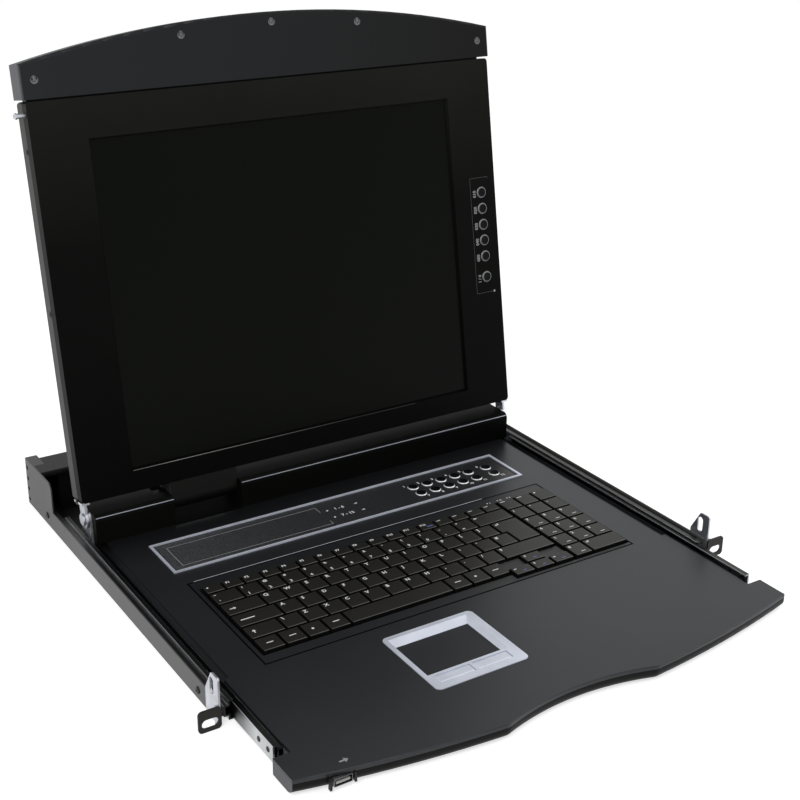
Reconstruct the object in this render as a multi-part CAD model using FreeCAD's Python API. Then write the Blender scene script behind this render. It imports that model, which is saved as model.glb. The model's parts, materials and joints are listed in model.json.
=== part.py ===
import FreeCAD, Part
import math
import os
from FreeCAD import Placement, Rotation, Vector

# Rackmount LCD console drawer, millimetres.
# X runs across the rack, Y from the operator towards the rear and Z up.
# The model is drawn with Z = 0 on the deck's top and Y = 0 just behind the tray's front corners.
# When it is saved, the origin moves to the middle of the whole part's footprint.

# ---- Rack unit and chassis ----
chassis_width = 448.0
chassis_height = 44.0
chassis_bottom = -13.0
chassis_behind_hinge = 114.7
chassis_sheet = 1.2
pan_sheet = 1.0
pan_setback = 1.0
rail_top = 4.2
rail_setback = 4.0
box_length = 65.2
box_shoulder_radius = 7.0
cover_length = 39.0
cover_lip_drop = 4.0
cover_lip_radius = 2.5
flange_length = 21.0
flange_width = 10.5
rear_panel_setback = 7.0
rear_hole_radius = 2.0
rear_hole_inset = 4.0
rear_hole_drop = 8.4
rear_hole_rise = 5.3
rear_hole_count = 4

# ---- Rack ears ----
ear_reach = 17.3
ear_sheet = 1.5
ear_front = 89.0
ear_top = 4.0
ear_corner = 3.0
ear_slot_inset = 8.75
ear_slot_length = 12.5
ear_slot_width = 7.0
ear_slot_rise = 6.3
tab_above_slot = 3.75
tab_top_behind_pin = 0.6
tab_foot_behind_pin = 10.5
tab_slope_foot_z = 7.5
tab_corner = 2.0
tab_flange_width = 4.0
pin_slot_height = 13.0
pin_slot_gap = 0.3

# ---- Telescopic slides ----
slide_sheet = 1.2
slide_floor_gap = 0.4
outer_slide_depth = 4.8
outer_slide_height = 11.6
outer_slide_setback = 12.0
middle_slide_height = 15.6
middle_slide_gap = 0.5
middle_lip = 2.4
middle_front = 65.0
middle_length = 340.0
ball_gap = 1.7
inner_slide_depth = 4.8
inner_front = 33.0
inner_to_bracket = 9.3
inner_hole_radius = 1.6
inner_hole_offsets = (7.0, 20.0)
running_gap = 0.3

# ---- Tray ----
deck_thickness = 3.0
tray_front_apex = -27.1
tray_front_radius = 934.0
tray_behind_hinge = 15.7
wing_inset = 5.2
wing_rear = 25.3
neck_rear = 36.0
neck_inset = 4.3
deck_front_inset = 3.8
deck_rear_inset = 7.8
deck_step_lead = 0.7
grip_half_width = 66.0
grip_depth = 13.1
grip_corner_radius = 10.0
lip_ground_gap = 0.5
lip_edge_radius = 7.0
lip_groove = 0.6
lip_wall = 9.0
lip_floor = 2.5
deck_edge_radius = 0.8
pan_bottom_gap = 0.3
pan_wall_rise = 1.5
pan_ledge = 10.8

# ---- USB socket ----
usb_inset = 31.8
usb_drop = 0.35
usb_width = 13.5
usb_height = 5.9
usb_wall = 0.4
usb_depth = 13.0
usb_proud = 2.5
fit_gap = 0.2

# ---- Keyboard ----
keyboard_setback = 19.6
keyboard_flange = 3.0
keys_to_frame_left = 6.5
keys_to_frame_right = 2.8
keys_to_frame_front = 6.3
keys_to_frame_rear = 14.7
key_top = 2.4
key_foot = -2.4
key_travel = 1.8
key_floor_gap = 0.8
key_floor_thickness = 1.0
key_taper = 1.0
key_gap = 1.8
key_width = 16.6
key_pitch_y = 18.8
key_row_count = 5
keys_per_row = 12
main_left = -166.9
main_setback = 7.0
function_row_depth = 11.0
function_key_count = 17
first_number_key_width = 22.2
tab_key_width = 31.5
left_shift_key_width = 27.5
corner_key_width = 17.6
space_key_width = 90.8
menu_key_width = 16.0
enter_key_width = 26.1
enter_key_step = 4.7
arrow_to_main = 2.6
arrow_depth = 11.0
pad_to_main = 3.1
pad_key_width = 16.4
pad_pitch_y = key_pitch_y + 0.2
pad_columns = 3
pad_rows = 6
well_margin = 2.0
well_margin_middle = 1.1
stem_size = 4.0
stem_reach = 0.8

# ---- Port panel ----
port_panel_left = -174.8
port_panel_right = 171.3
port_panel_depth = 51.5
port_panel_setback = 24.9
port_frame_width = 3.5
port_frame_height = 1.0
port_frame_lap = 1.0
panel_flange = 2.0
panel_flange_thickness = 1.0
port_column_count = 5
port_column_pitch = 15.15
port_column_inset = 38.7
wide_column_inset = 19.1
port_row_offsets = (31.3, 17.8)
button_radius = 5.2
button_gap = 0.3
button_proud = 0.8
button_rim = 0.3
button_foot = 1.1
button_foot_thickness = 0.8

# ---- Touchpad ----
touch_setback = 15.2
touch_left = -86.3
touch_width = 80.3
touch_depth = 76.0
touch_corner = 4.5
touch_rim_height = 0.6
touch_rim = 2.0
touch_surface_inset_left = 6.8
touch_surface_inset_right = 9.5
touch_surface_inset_front = 20.5
touch_surface_inset_rear = 10.5
touch_surface_z = -3.0
touch_surface_thickness = 1.4
touch_slope_x = 3.0
touch_slope_front = 1.5
touch_slope_rear = 6.5
touch_floor = 1.2
touch_button_inset_left = 7.1
touch_button_inset_right = 9.8
touch_button_inset_front = 7.2
touch_button_depth = 9.3
touch_button_gap = 0.4
touch_button_bevel = 0.8

# ---- Hinge ----
hinge_z = 18.2
hinge_plate = 2.0
hinge_boss_radius = 8.0
hinge_pin_radius = 3.0
hinge_pin_clearance = 0.05
hinge_head_radius = 5.0
hinge_head_thickness = 1.5
bracket_foot_z = -9.0
bracket_foot_front = 10.0
bracket_foot_rear = 12.0
leaf_half_width = 6.0
leaf_flange_front = 8.0
leaf_flange_rear = 10.0
hinge_cover_top = 25.3
hinge_cover_wall = 2.0
hinge_cover_radius = 5.0
hinge_cover_gap = 0.5
knuckle_left = -138.8
knuckle_right = -77.2
notch_width = 10.0
notch_depth = 5.0
notch_inset = 1.2

# ---- LCD ----
lcd_tilt = 9.8
screen_width = 337.9
screen_height = 270.3
hinge_to_screen = 35.9
hinge_to_front = 9.65
bezel_below_screen = 20.0
bezel_above_screen = 33.7
lcd_side_inset = 2.2
lcd_thickness = 22.0
lcd_corner = 3.0
lcd_wall = 2.5
bezel_plate = 3.0
bezel_bevel = 1.5
bezel_depth = 10.0
panel_margin_x = 3.0
panel_margin_z = 8.0
panel_post = 8.0
panel_thickness = 9.0
cap_gap = 1.5
cap_height = 53.0
cap_proud = 0.8
cap_edge_radius = 2.5
cap_neck_inset = 4.0
cap_outer_screw_inset = 11.5
cap_inner_screw_x = 82.4
cap_screw_edge_distances = (15.2, 9.9, 8.4)
cap_screw_head_radius = 3.1
cap_screw_head_height = 1.4
cap_screw_recess = 1.9
cap_screw_shank_radius = 1.5
cap_screw_length = 11.0
osd_button_inset = 15.6
osd_button_heights = (183.0, 168.0, 153.0, 138.3, 123.2, 103.5)
osd_button_proud = 0.6

# ---- Lock pin ----
pin_below_top = 10.0
pin_depth = 6.0
pin_radius = 2.0
pin_clearance = 0.05
pin_reach = 8.8
pin_head_radius = 2.6
pin_head_length = 2.4
pin_head_bevel = 1.2
pin_tail = 10.5
pin_collar_half = 2.7
pin_collar_thickness = 1.5

# ---- Rear box ----
board_thickness = 1.6
board_left = -70.0
board_side_gap = 10.8
board_floor_gap = 3.0
board_top_gap = 5.0
port_count = 6
port_pitch = 42.0
port_first_x = -40.0
port_row_drops = (31.5, 14.5)
port_width = 31.0
port_height = 12.5
port_depth = 6.2
port_shell_width = 16.6
port_shell_height = 8.2
port_shell_proud = 4.2
supply_side_gap = 16.8
supply_width = 122.0
supply_setback = 9.8
supply_depth = 14.5
supply_floor_gap = 2.0
supply_top_gap = 4.0
inlet_inset = 22.0
inlet_width = 27.0
inlet_height = 19.5
inlet_wall = 2.0
inlet_rim = 2.5
inlet_proud = 2.0
inlet_depth = 7.5

# ---- Sizes that follow across the rack ----
chassis_half = chassis_width / 2
rack_half = chassis_half + ear_reach
ear_slot_x = rack_half - ear_slot_inset
side_inner = chassis_half - chassis_sheet
wing_half = chassis_half - wing_inset
lcd_half = wing_half - lcd_side_inset
outer_slide_end = side_inner - outer_slide_depth
middle_outside = outer_slide_end - middle_slide_gap
middle_inside = middle_outside - slide_sheet
inner_outside = middle_inside - ball_gap
tray_half = inner_outside - inner_slide_depth
neck_half = tray_half - neck_inset
bracket_outside = tray_half + hinge_plate
leaf_inside = bracket_outside + running_gap
leaf_outside = leaf_inside + hinge_plate
usb_x = usb_inset - wing_half
osd_button_x = lcd_half - osd_button_inset
enter_left = main_left + tab_key_width + key_gap + keys_per_row * (key_width + key_gap)
main_right = enter_left + enter_key_width
bottom_row_widths = [corner_key_width, key_width, key_width, key_width, space_key_width, key_width,
                     key_width, menu_key_width]
bottom_row_right = main_left + sum(bottom_row_widths) + key_gap * (len(bottom_row_widths) - 1)
arrow_left = bottom_row_right + arrow_to_main
arrow_width = (main_right - arrow_left - 2 * key_gap) / 3
pad_left = main_right + pad_to_main
pad_right = pad_left + pad_columns * (pad_key_width + key_gap) - key_gap
keyboard_left = main_left - keys_to_frame_left
keyboard_right = pad_right + keys_to_frame_right
touch_right = touch_left + touch_width
board_right = side_inner - board_side_gap
supply_left = supply_side_gap - side_inner
supply_right = supply_left + supply_width
inlet_x = supply_left + inlet_inset

# ---- Sizes that follow upwards ----
chassis_top = chassis_bottom + chassis_height
pan_top = chassis_bottom + pan_sheet
ear_slot_z = chassis_bottom + ear_slot_rise
slide_centre_z = pan_top + slide_floor_gap + middle_slide_height / 2
lip_bottom = chassis_bottom + lip_ground_gap
tray_bottom = pan_top + pan_bottom_gap
pan_wall_top = pan_wall_rise - deck_thickness
usb_z = -deck_thickness - usb_drop - usb_height / 2
key_floor = key_foot - key_travel - key_floor_gap
stem_bottom = key_floor - stem_reach
touch_body_bottom = touch_surface_z - touch_surface_thickness - touch_floor
pin_slot_z = hinge_z - hinge_to_front + pin_depth
tab_top = pin_slot_z + pin_slot_height / 2 + tab_above_slot
rear_hole_top = chassis_top - rear_hole_drop
rear_hole_pitch = (chassis_height - rear_hole_drop - rear_hole_rise) / (rear_hole_count - 1)
board_bottom = pan_top + board_floor_gap
board_top = chassis_top - board_top_gap
supply_bottom = pan_top + supply_floor_gap
supply_top = chassis_top - supply_top_gap
inlet_z = (chassis_top + chassis_bottom) / 2

# ---- Sizes of the screen, measured from the hinge axis ----
lcd_front = -hinge_to_front
lcd_back = lcd_front + lcd_thickness
lcd_split = lcd_front + bezel_depth
lcd_bottom = hinge_to_screen - bezel_below_screen
lcd_top = hinge_to_screen + screen_height + bezel_above_screen
pin_height = lcd_top - pin_below_top
cap_bottom = lcd_top + cap_gap
cap_apex = cap_bottom + cap_height

# ---- Sizes that follow towards the rear ----
# The folded screen's cap lines up with the bowed front, so the screen's height places the hinge.
hinge_y = tray_front_apex + cap_apex
hinge_cover_front = hinge_y - lcd_bottom + hinge_cover_gap
tray_rear = hinge_y + tray_behind_hinge
grip_rear = tray_front_apex + grip_depth
inner_rear = hinge_y - bracket_foot_front - inner_to_bracket
port_panel_rear = hinge_cover_front - port_panel_setback
port_panel_front = port_panel_rear - port_panel_depth
keyboard_rear = port_panel_front - keyboard_setback
pad_front = keyboard_rear - keys_to_frame_rear - pad_rows * pad_pitch_y + key_gap
main_front = pad_front + main_setback
keyboard_front = pad_front - keys_to_frame_front
deck_step = keyboard_front - deck_step_lead
touch_rear = keyboard_front - touch_setback
touch_front = touch_rear - touch_depth
touch_surface_left = touch_left + touch_surface_inset_left
touch_surface_right = touch_right - touch_surface_inset_right
touch_surface_front = touch_front + touch_surface_inset_front
touch_surface_rear = touch_rear - touch_surface_inset_rear
touch_button_front = touch_front + touch_button_inset_front
touch_button_rear = touch_button_front + touch_button_depth
# The drawer goes in until its wings almost meet the ears.
closed_travel = ear_front - wing_rear - middle_slide_gap - fit_gap
pin_closed_y = hinge_y - pin_height + closed_travel
rail_front = ear_front + rail_setback
pan_front = neck_rear + closed_travel + pan_setback
chassis_rear = hinge_y + chassis_behind_hinge
box_front = chassis_rear - box_length
cover_front = chassis_rear - cover_length
flange_front = chassis_rear - flange_length
outer_slide_rear = chassis_rear - outer_slide_setback
rear_panel_back = chassis_rear - rear_panel_setback
rear_panel_front = rear_panel_back - chassis_sheet
board_rear = rear_panel_front - port_depth
supply_rear = rear_panel_front - supply_setback
supply_front = supply_rear - supply_depth
lcd_place = Placement(Vector(0, hinge_y, hinge_z), Rotation(Vector(1, 0, 0), -lcd_tilt))


# ---- Helpers ----
def block(x0, x1, y0, y1, z0, z1):
    return Part.makeBox(x1 - x0, y1 - y0, z1 - z0, Vector(x0, y0, z0))


def prism(points, direction):
    wire = Part.makePolygon(points + [points[0]])
    return Part.Face(wire).extrude(direction)


def along_x(profile, x0, x1):
    return prism([Vector(x0, y, z) for y, z in profile], Vector(x1 - x0, 0, 0))


def along_y(profile, y0, y1):
    return prism([Vector(x, y0, z) for x, z in profile], Vector(0, y1 - y0, 0))


def along_z(profile, z0, z1):
    return prism([Vector(x, y, z0) for x, y in profile], Vector(0, 0, z1 - z0))


def cylinder(radius, start, direction, length):
    return Part.makeCylinder(radius, length, start, direction)


def rounded_block(x0, x1, y0, y1, z0, z1, radius, along):
    """A box whose four edges parallel to one axis are rounded."""
    solid = block(x0, x1, y0, y1, z0, z1)
    edges = [edge for edge in solid.Edges if abs(edge.tangentAt(edge.FirstParameter).dot(along)) > 0.99]
    return solid.makeFillet(radius, edges)


def tapered(points_low, points_high, z0, z1):
    """A straight-sided solid between two outlines with the same number of corners."""
    low = Part.makePolygon([Vector(x, y, z0) for x, y in points_low + points_low[:1]])
    high = Part.makePolygon([Vector(x, y, z1) for x, y in points_high + points_high[:1]])
    return Part.makeLoft([low, high], True, True)


def rectangle(x0, x1, y0, y1):
    return [(x0, y0), (x1, y0), (x1, y1), (x0, y1)]


def slot_prism(centre, half_length, radius, run, direction, depth):
    """A solid for cutting a slot: two round ends joined by a straight part."""
    side = run.cross(direction)
    half = half_length - radius
    a = centre + run * half + side * radius
    b = centre - run * half + side * radius
    c = centre - run * half - side * radius
    d = centre + run * half - side * radius
    edges = [
        Part.makeLine(a, b),
        Part.Arc(b, centre - run * half_length, c).toShape(),
        Part.makeLine(c, d),
        Part.Arc(d, centre + run * half_length, a).toShape(),
    ]
    return Part.Face(Part.Wire(edges)).extrude(direction * depth)


def mirrored(shape):
    return shape.mirror(Vector(0, 0, 0), Vector(1, 0, 0))


def pair(shape):
    """The given right-hand piece and its left-hand twin."""
    return Part.makeCompound([shape, mirrored(shape)])


def origin_shift():
    """From the drawing's zero to the middle of the footprint, on the chassis's underside."""
    foremost = grip_blend()[3] - grip_corner_radius
    return Vector(0, -(foremost + chassis_rear) / 2, -chassis_bottom)


def save(name, shape):
    placed = shape.copy()
    placed.translate(origin_shift())
    placed.exportStep(os.path.join("parts", name + ".step"))


def save_lcd(name, shape):
    """Save a piece that is drawn upright on the hinge axis, leaned back as the screen stands."""
    placed = shape.copy()
    placed.Placement = lcd_place.multiply(placed.Placement)
    save(name, placed)


# ---- Chassis ----
def bottom_pan():
    return block(-side_inner, side_inner, pan_front, rear_panel_front, chassis_bottom, pan_top)


def side_plate():
    """Low rail in front, then the tall side of the rear box with its rounded shoulder."""
    radius = box_shoulder_radius
    corner = Vector(side_inner, box_front + radius, chassis_top - radius)
    lean = radius * math.sqrt(0.5)
    points = [
        Vector(side_inner, rail_front, chassis_bottom),
        Vector(side_inner, chassis_rear, chassis_bottom),
        Vector(side_inner, chassis_rear, chassis_top),
        Vector(side_inner, box_front + radius, chassis_top),
        Vector(side_inner, box_front, chassis_top - radius),
        Vector(side_inner, box_front, rail_top),
        Vector(side_inner, rail_front, rail_top),
    ]
    edges = [Part.makeLine(points[i], points[i + 1]) for i in (0, 1, 2)]
    edges.append(Part.Arc(points[3], corner + Vector(0, -lean, lean), points[4]).toShape())
    edges += [Part.makeLine(points[4], points[5]), Part.makeLine(points[5], points[6])]
    edges.append(Part.makeLine(points[6], points[0]))
    plate = Part.Face(Part.Wire(edges)).extrude(Vector(chassis_sheet, 0, 0))
    flange = block(chassis_half - flange_width, side_inner, flange_front, chassis_rear,
                   chassis_top - chassis_sheet, chassis_top)
    plate = plate.fuse(flange).removeSplitter()
    for number in range(rear_hole_count):
        place = Vector(side_inner, chassis_rear - rear_hole_inset, rear_hole_top - number * rear_hole_pitch)
        plate = plate.cut(cylinder(rear_hole_radius, place, Vector(1, 0, 0), chassis_sheet))
    return plate


def rear_panel():
    panel = block(-side_inner, side_inner, rear_panel_front, rear_panel_back,
                  chassis_bottom, chassis_top - chassis_sheet)
    for x, z in port_places():
        panel = panel.cut(port_cutout(x, z))
    half_width = inlet_width / 2
    half_height = inlet_height / 2
    return panel.cut(block(inlet_x - half_width, inlet_x + half_width, rear_panel_front, rear_panel_back,
                           inlet_z - half_height, inlet_z + half_height))


def top_cover():
    """Lid of the rear box, with a turned-down front lip and notches for the side flanges."""
    lid = block(-side_inner, side_inner, cover_front, rear_panel_back,
                chassis_top - chassis_sheet, chassis_top)
    lip = block(-side_inner, side_inner, cover_front, cover_front + chassis_sheet,
                chassis_top - cover_lip_drop, chassis_top - chassis_sheet)
    cover = lid.fuse(lip).removeSplitter()
    nose = [edge for edge in cover.Edges
            if all(abs(v.Y - cover_front) < 0.01 and abs(v.Z - chassis_top) < 0.01 for v in edge.Vertexes)]
    cover = cover.makeFillet(cover_lip_radius, nose)
    inside = [edge for edge in cover.Edges
              if all(abs(v.Y - cover_front - chassis_sheet) < 0.01
                     and abs(v.Z - chassis_top + chassis_sheet) < 0.01 for v in edge.Vertexes)]
    cover = cover.makeFillet(cover_lip_radius - chassis_sheet, inside)
    notch = block(chassis_half - flange_width - fit_gap, side_inner, flange_front - fit_gap, rear_panel_back,
                  chassis_top - chassis_sheet, chassis_top)
    return cover.cut(notch).cut(mirrored(notch))


def outer_slide():
    """C section on the side plate, open towards the drawer."""
    half = outer_slide_height / 2
    low = slide_centre_z - half
    high = slide_centre_z + half
    section = block(outer_slide_end, side_inner, pan_front, outer_slide_rear, low, high)
    channel = block(outer_slide_end, side_inner - slide_sheet, pan_front, outer_slide_rear,
                    low + slide_sheet, high - slide_sheet)
    return section.cut(channel)


def ear_tab():
    """Upright zinc tab with the lock slot; its flange behind the ear plate carries that plate."""
    front = ear_front + ear_sheet
    top_rear = pin_closed_y + tab_top_behind_pin
    foot_rear = pin_closed_y + tab_foot_behind_pin
    tab = along_x([(front, chassis_bottom), (foot_rear, chassis_bottom), (foot_rear, tab_slope_foot_z),
                   (top_rear, tab_top), (front, tab_top)], chassis_half, chassis_half + ear_sheet)
    upper = [edge for edge in tab.Edges
             if edge.BoundBox.ZMin > tab_top - 0.01 and edge.BoundBox.YLength < 0.01]
    tab = tab.makeFillet(tab_corner, upper)
    flange = block(chassis_half, chassis_half + tab_flange_width, front, front + ear_sheet,
                   chassis_bottom, ear_top)
    tab = tab.fuse(flange.cut(ear_slot_cut(front))).removeSplitter()
    centre = Vector(chassis_half, pin_closed_y, pin_slot_z)
    return tab.cut(slot_prism(centre, pin_slot_height / 2, pin_head_radius + pin_slot_gap,
                              Vector(0, 0, 1), Vector(1, 0, 0), ear_sheet))


def ear_slot_cut(front):
    """The rack slot through a sheet whose front face is at the given Y."""
    return slot_prism(Vector(ear_slot_x, front, ear_slot_z), ear_slot_length / 2, ear_slot_width / 2,
                      Vector(1, 0, 0), Vector(0, 1, 0), ear_sheet)


def ear_plate():
    plate = rounded_block(chassis_half, rack_half, ear_front, ear_front + ear_sheet,
                          chassis_bottom, ear_top, ear_corner, Vector(0, 1, 0))
    return plate.cut(ear_slot_cut(ear_front))


def port_places():
    """Centres of the two rows of sockets on the rear panel, as X and Z."""
    columns = [port_first_x + number * port_pitch for number in range(port_count)]
    return [(x, chassis_top - drop) for drop in port_row_drops for x in columns]


def port_profile(x, z, width, height, grow):
    """D-shaped outline, wider at the top, as on every D-sub port."""
    half = width / 2 + grow
    low = z - height / 2 - grow
    high = z + height / 2 + grow
    slope = height / 6
    return [(x - half + slope, low), (x + half - slope, low), (x + half, high), (x - half, high)]


def port_cutout(x, z):
    return along_y(port_profile(x, z, port_shell_width, port_shell_height, fit_gap),
                   rear_panel_front, rear_panel_back)


def port_connectors():
    """Two rows of D-sub sockets: body on the board, plate behind the panel, shell through it."""
    sockets = []
    for x, z in port_places():
        body = block(x - port_width / 2, x + port_width / 2, board_rear, rear_panel_front,
                     z - port_height / 2, z + port_height / 2)
        shell = along_y(port_profile(x, z, port_shell_width, port_shell_height, 0),
                        rear_panel_front, rear_panel_back + port_shell_proud)
        sockets.append(body.fuse(shell).removeSplitter())
    return Part.makeCompound(sockets)


def switch_board():
    return block(board_left, board_right, board_rear - board_thickness, board_rear, board_bottom, board_top)


def power_supply():
    """Folded steel can on the bottom pan, with feet at its two ends."""
    can = block(supply_left, supply_right, supply_front, supply_rear, supply_bottom, supply_top)
    feet = block(supply_left, supply_right, supply_front, supply_rear, pan_top, supply_bottom)
    gap = block(supply_left + supply_rear - supply_front, supply_right - supply_rear + supply_front,
                supply_front, supply_rear, pan_top, supply_bottom)
    return can.fuse(feet.cut(gap)).removeSplitter()


def power_inlet():
    """Mains inlet: a rim outside the panel and a cup through it."""
    half_width = inlet_width / 2 - fit_gap
    half_height = inlet_height / 2 - fit_gap
    rim = block(inlet_x - half_width - inlet_rim, inlet_x + half_width + inlet_rim, rear_panel_back,
                rear_panel_back + inlet_proud, inlet_z - half_height - inlet_rim,
                inlet_z + half_height + inlet_rim)
    body = block(inlet_x - half_width, inlet_x + half_width, supply_rear, rear_panel_back,
                 inlet_z - half_height, inlet_z + half_height)
    cup = block(inlet_x - half_width + inlet_wall, inlet_x + half_width - inlet_wall,
                rear_panel_back + inlet_proud - inlet_depth, rear_panel_back + inlet_proud,
                inlet_z - half_height + inlet_wall, inlet_z + half_height - inlet_wall)
    return body.fuse(rim).removeSplitter().cut(cup)


# ---- Slides between chassis and drawer ----
def middle_slide():
    """Hat section: a bead runs in the outer member, two lips hold the inner member."""
    half = middle_slide_height / 2
    low = slide_centre_z - half
    high = slide_centre_z + half
    lip_end = middle_inside - middle_lip
    lip = middle_slide_gap * 2
    rear = middle_front + middle_length
    bead_half = outer_slide_height / 2 - slide_sheet - running_gap
    bead_end = side_inner - slide_sheet - running_gap * 2
    shape = block(lip_end, middle_outside, middle_front, rear, low, high)
    shape = shape.cut(block(lip_end, middle_inside, middle_front, rear, low + lip, high - lip))
    bead = block(middle_outside, bead_end, middle_front, rear, slide_centre_z - bead_half,
                 slide_centre_z + bead_half)
    groove = block(middle_inside, bead_end - slide_sheet, middle_front, rear,
                   slide_centre_z - bead_half + slide_sheet, slide_centre_z + bead_half - slide_sheet)
    return shape.fuse(bead).cut(groove).removeSplitter()


def inner_slide():
    """C section screwed to the tray's side, web outward."""
    half = middle_slide_height / 2 - middle_slide_gap * 2 - running_gap
    low = slide_centre_z - half
    high = slide_centre_z + half
    shape = block(tray_half, inner_outside, inner_front, inner_rear, low, high)
    channel = block(tray_half, inner_outside - slide_sheet, inner_front, inner_rear, low + slide_sheet,
                    high - slide_sheet)
    shape = shape.cut(channel)
    for offset in inner_hole_offsets:
        place = Vector(inner_outside - slide_sheet, inner_front + offset, slide_centre_z)
        shape = shape.cut(cylinder(inner_hole_radius, place, Vector(1, 0, 0), slide_sheet))
    return shape


# ---- Tray ----
def front_y(x):
    """The tray's bowed front at one place across."""
    return tray_front_apex + tray_front_radius - math.sqrt(tray_front_radius ** 2 - x ** 2)


def arc_through(x0, y0, x1, y1, x2, y2, z):
    return Part.Arc(Vector(x0, y0, z), Vector(x1, y1, z), Vector(x2, y2, z)).toShape()


def grip_circle():
    """Radius of the hollow circle of the finger grip, and the Y of its centre."""
    depth = grip_rear - front_y(grip_half_width)
    radius = (grip_half_width ** 2 + depth ** 2) / (2 * depth)
    return radius, grip_rear - radius


def grip_blend():
    """The rounded corner of bow and grip: tangent points, the point between, and the centre's Y."""
    round_radius = grip_corner_radius
    grip_radius, grip_centre = grip_circle()
    bow_centre = tray_front_apex + tray_front_radius
    apart = bow_centre - grip_centre
    reach = grip_radius + round_radius
    height = (reach ** 2 - (tray_front_radius - round_radius) ** 2 + apart ** 2) / (2 * apart)
    centre = Vector(math.sqrt(reach ** 2 - height ** 2), grip_centre + height, 0)
    from_bow = (centre - Vector(0, bow_centre, 0)).normalize()
    from_grip = (centre - Vector(0, grip_centre, 0)).normalize()
    on_bow = centre + from_bow * round_radius
    on_grip = centre - from_grip * round_radius
    between = centre + (from_bow - from_grip).normalize() * round_radius
    return on_bow, between, on_grip, centre.y


def front_edges(half_width, z):
    """Front outline from left to right: bow, rounded corner, finger grip, rounded corner, bow."""
    on_bow, between, on_grip, _ = grip_blend()
    middle = (half_width + on_bow.x) / 2
    far = (half_width, front_y(half_width))
    half_way = (middle, front_y(middle))
    bow = (on_bow.x, on_bow.y)
    corner = (between.x, between.y)
    grip = (on_grip.x, on_grip.y)
    right = [(bow, half_way, far), (grip, corner, bow)]
    edges = [arc_through(-c[0], c[1], -b[0], b[1], -a[0], a[1], z) for a, b, c in right]
    edges.append(arc_through(-grip[0], grip[1], 0, grip_rear, grip[0], grip[1], z))
    edges += [arc_through(a[0], a[1], b[0], b[1], c[0], c[1], z) for a, b, c in reversed(right)]
    return edges


def tray_outline(half_width, sides, z0, z1):
    """Solid with the bowed front; sides lists the right-hand corners from the front to the rear."""
    right = [Vector(half_width, front_y(half_width), z0)] + [Vector(x, y, z0) for x, y in sides]
    left = [Vector(-point.x, point.y, z0) for point in reversed(right)]
    corners = right + left
    edges = front_edges(half_width, z0)
    edges += [Part.makeLine(corners[i], corners[i + 1]) for i in range(len(corners) - 1)]
    return Part.Face(Part.Wire(edges)).extrude(Vector(0, 0, z1 - z0))


def front_rim_edges(solid, z):
    """The edges of the bowed front at one height."""
    limit = front_y(wing_half) + 0.01
    found = []
    for edge in solid.Edges:
        box = edge.BoundBox
        if abs(box.ZMin - z) < 0.01 and abs(box.ZMax - z) < 0.01 and box.YMax <= limit:
            found.append(edge)
    return found


def deck():
    front_half = tray_half - deck_front_inset
    rear_half = tray_half - deck_rear_inset
    sides = [(wing_half, wing_rear), (neck_half, wing_rear), (neck_half, neck_rear),
             (front_half, neck_rear), (front_half, deck_step), (rear_half, deck_step),
             (rear_half, tray_rear)]
    plate = tray_outline(wing_half, sides, -deck_thickness, 0)
    plate = plate.makeFillet(deck_edge_radius, front_rim_edges(plate, 0))
    plate = plate.cut(block(keyboard_left, keyboard_right, keyboard_front, keyboard_rear,
                            -deck_thickness, 0))
    frame = port_frame_width
    plate = plate.cut(block(port_panel_left + frame, port_panel_right - frame, port_panel_front + frame,
                            port_panel_rear - frame, -deck_thickness, 0))
    return plate.cut(block(touch_left + touch_rim, touch_right - touch_rim, touch_front + touch_rim,
                           touch_rear - touch_rim, -deck_thickness, 0))


def front_lip():
    """Rounded front rail under the deck, hollow from above, with the USB opening."""
    sides = [(wing_half, wing_rear), (neck_half, wing_rear), (neck_half, neck_rear)]
    rail = tray_outline(wing_half, sides, lip_bottom, -deck_thickness)
    rail = rail.makeFillet(lip_edge_radius, front_rim_edges(rail, lip_bottom))
    rail = rail.makeChamfer(lip_groove, front_rim_edges(rail, -deck_thickness))
    cavity_half = neck_half - lip_wall
    cavity_front = max(grip_rear, front_y(cavity_half)) + lip_wall
    rail = rail.cut(block(-cavity_half, cavity_half, cavity_front, neck_rear - lip_floor,
                          lip_bottom + lip_floor, -deck_thickness))
    rail = rail.cut(block(touch_left, touch_right, touch_front, touch_rear,
                          touch_body_bottom - running_gap, -deck_thickness))
    return rail.cut(block(usb_x - usb_width / 2 - fit_gap, usb_x + usb_width / 2 + fit_gap,
                          tray_front_apex, cavity_front + lip_floor,
                          usb_z - usb_height / 2 - fit_gap, usb_z + usb_height / 2 + fit_gap))


def tray_pan():
    """Steel pan under the deck: floor, side walls and a ledge that the deck rests on."""
    outside = block(-tray_half, tray_half, neck_rear, tray_rear, tray_bottom, pan_wall_top)
    inner = tray_half - chassis_sheet
    room = block(-inner, inner, neck_rear, tray_rear - chassis_sheet, tray_bottom + pan_sheet,
                 -deck_thickness - chassis_sheet)
    mouth = tray_half - pan_ledge
    gap = block(-mouth, mouth, neck_rear, tray_rear - chassis_sheet, -deck_thickness - chassis_sheet,
                pan_wall_top)
    above = block(-inner, inner, neck_rear, tray_rear, -deck_thickness, pan_wall_top)
    return outside.cut(room).cut(gap).cut(above)


def usb_socket():
    """Folded steel shell of a type A socket, open in front."""
    half_width = usb_width / 2
    half_height = usb_height / 2
    mouth = front_y(usb_x) - usb_proud
    rear = mouth + usb_depth
    shell = block(usb_x - half_width, usb_x + half_width, mouth, rear, usb_z - half_height,
                  usb_z + half_height)
    hollow = block(usb_x - half_width + usb_wall, usb_x + half_width - usb_wall, mouth, rear - usb_wall,
                   usb_z - half_height + usb_wall, usb_z + half_height - usb_wall)
    return shell.cut(hollow)


# ---- Keyboard ----
def row_front(number):
    return main_front + number * key_pitch_y


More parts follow.
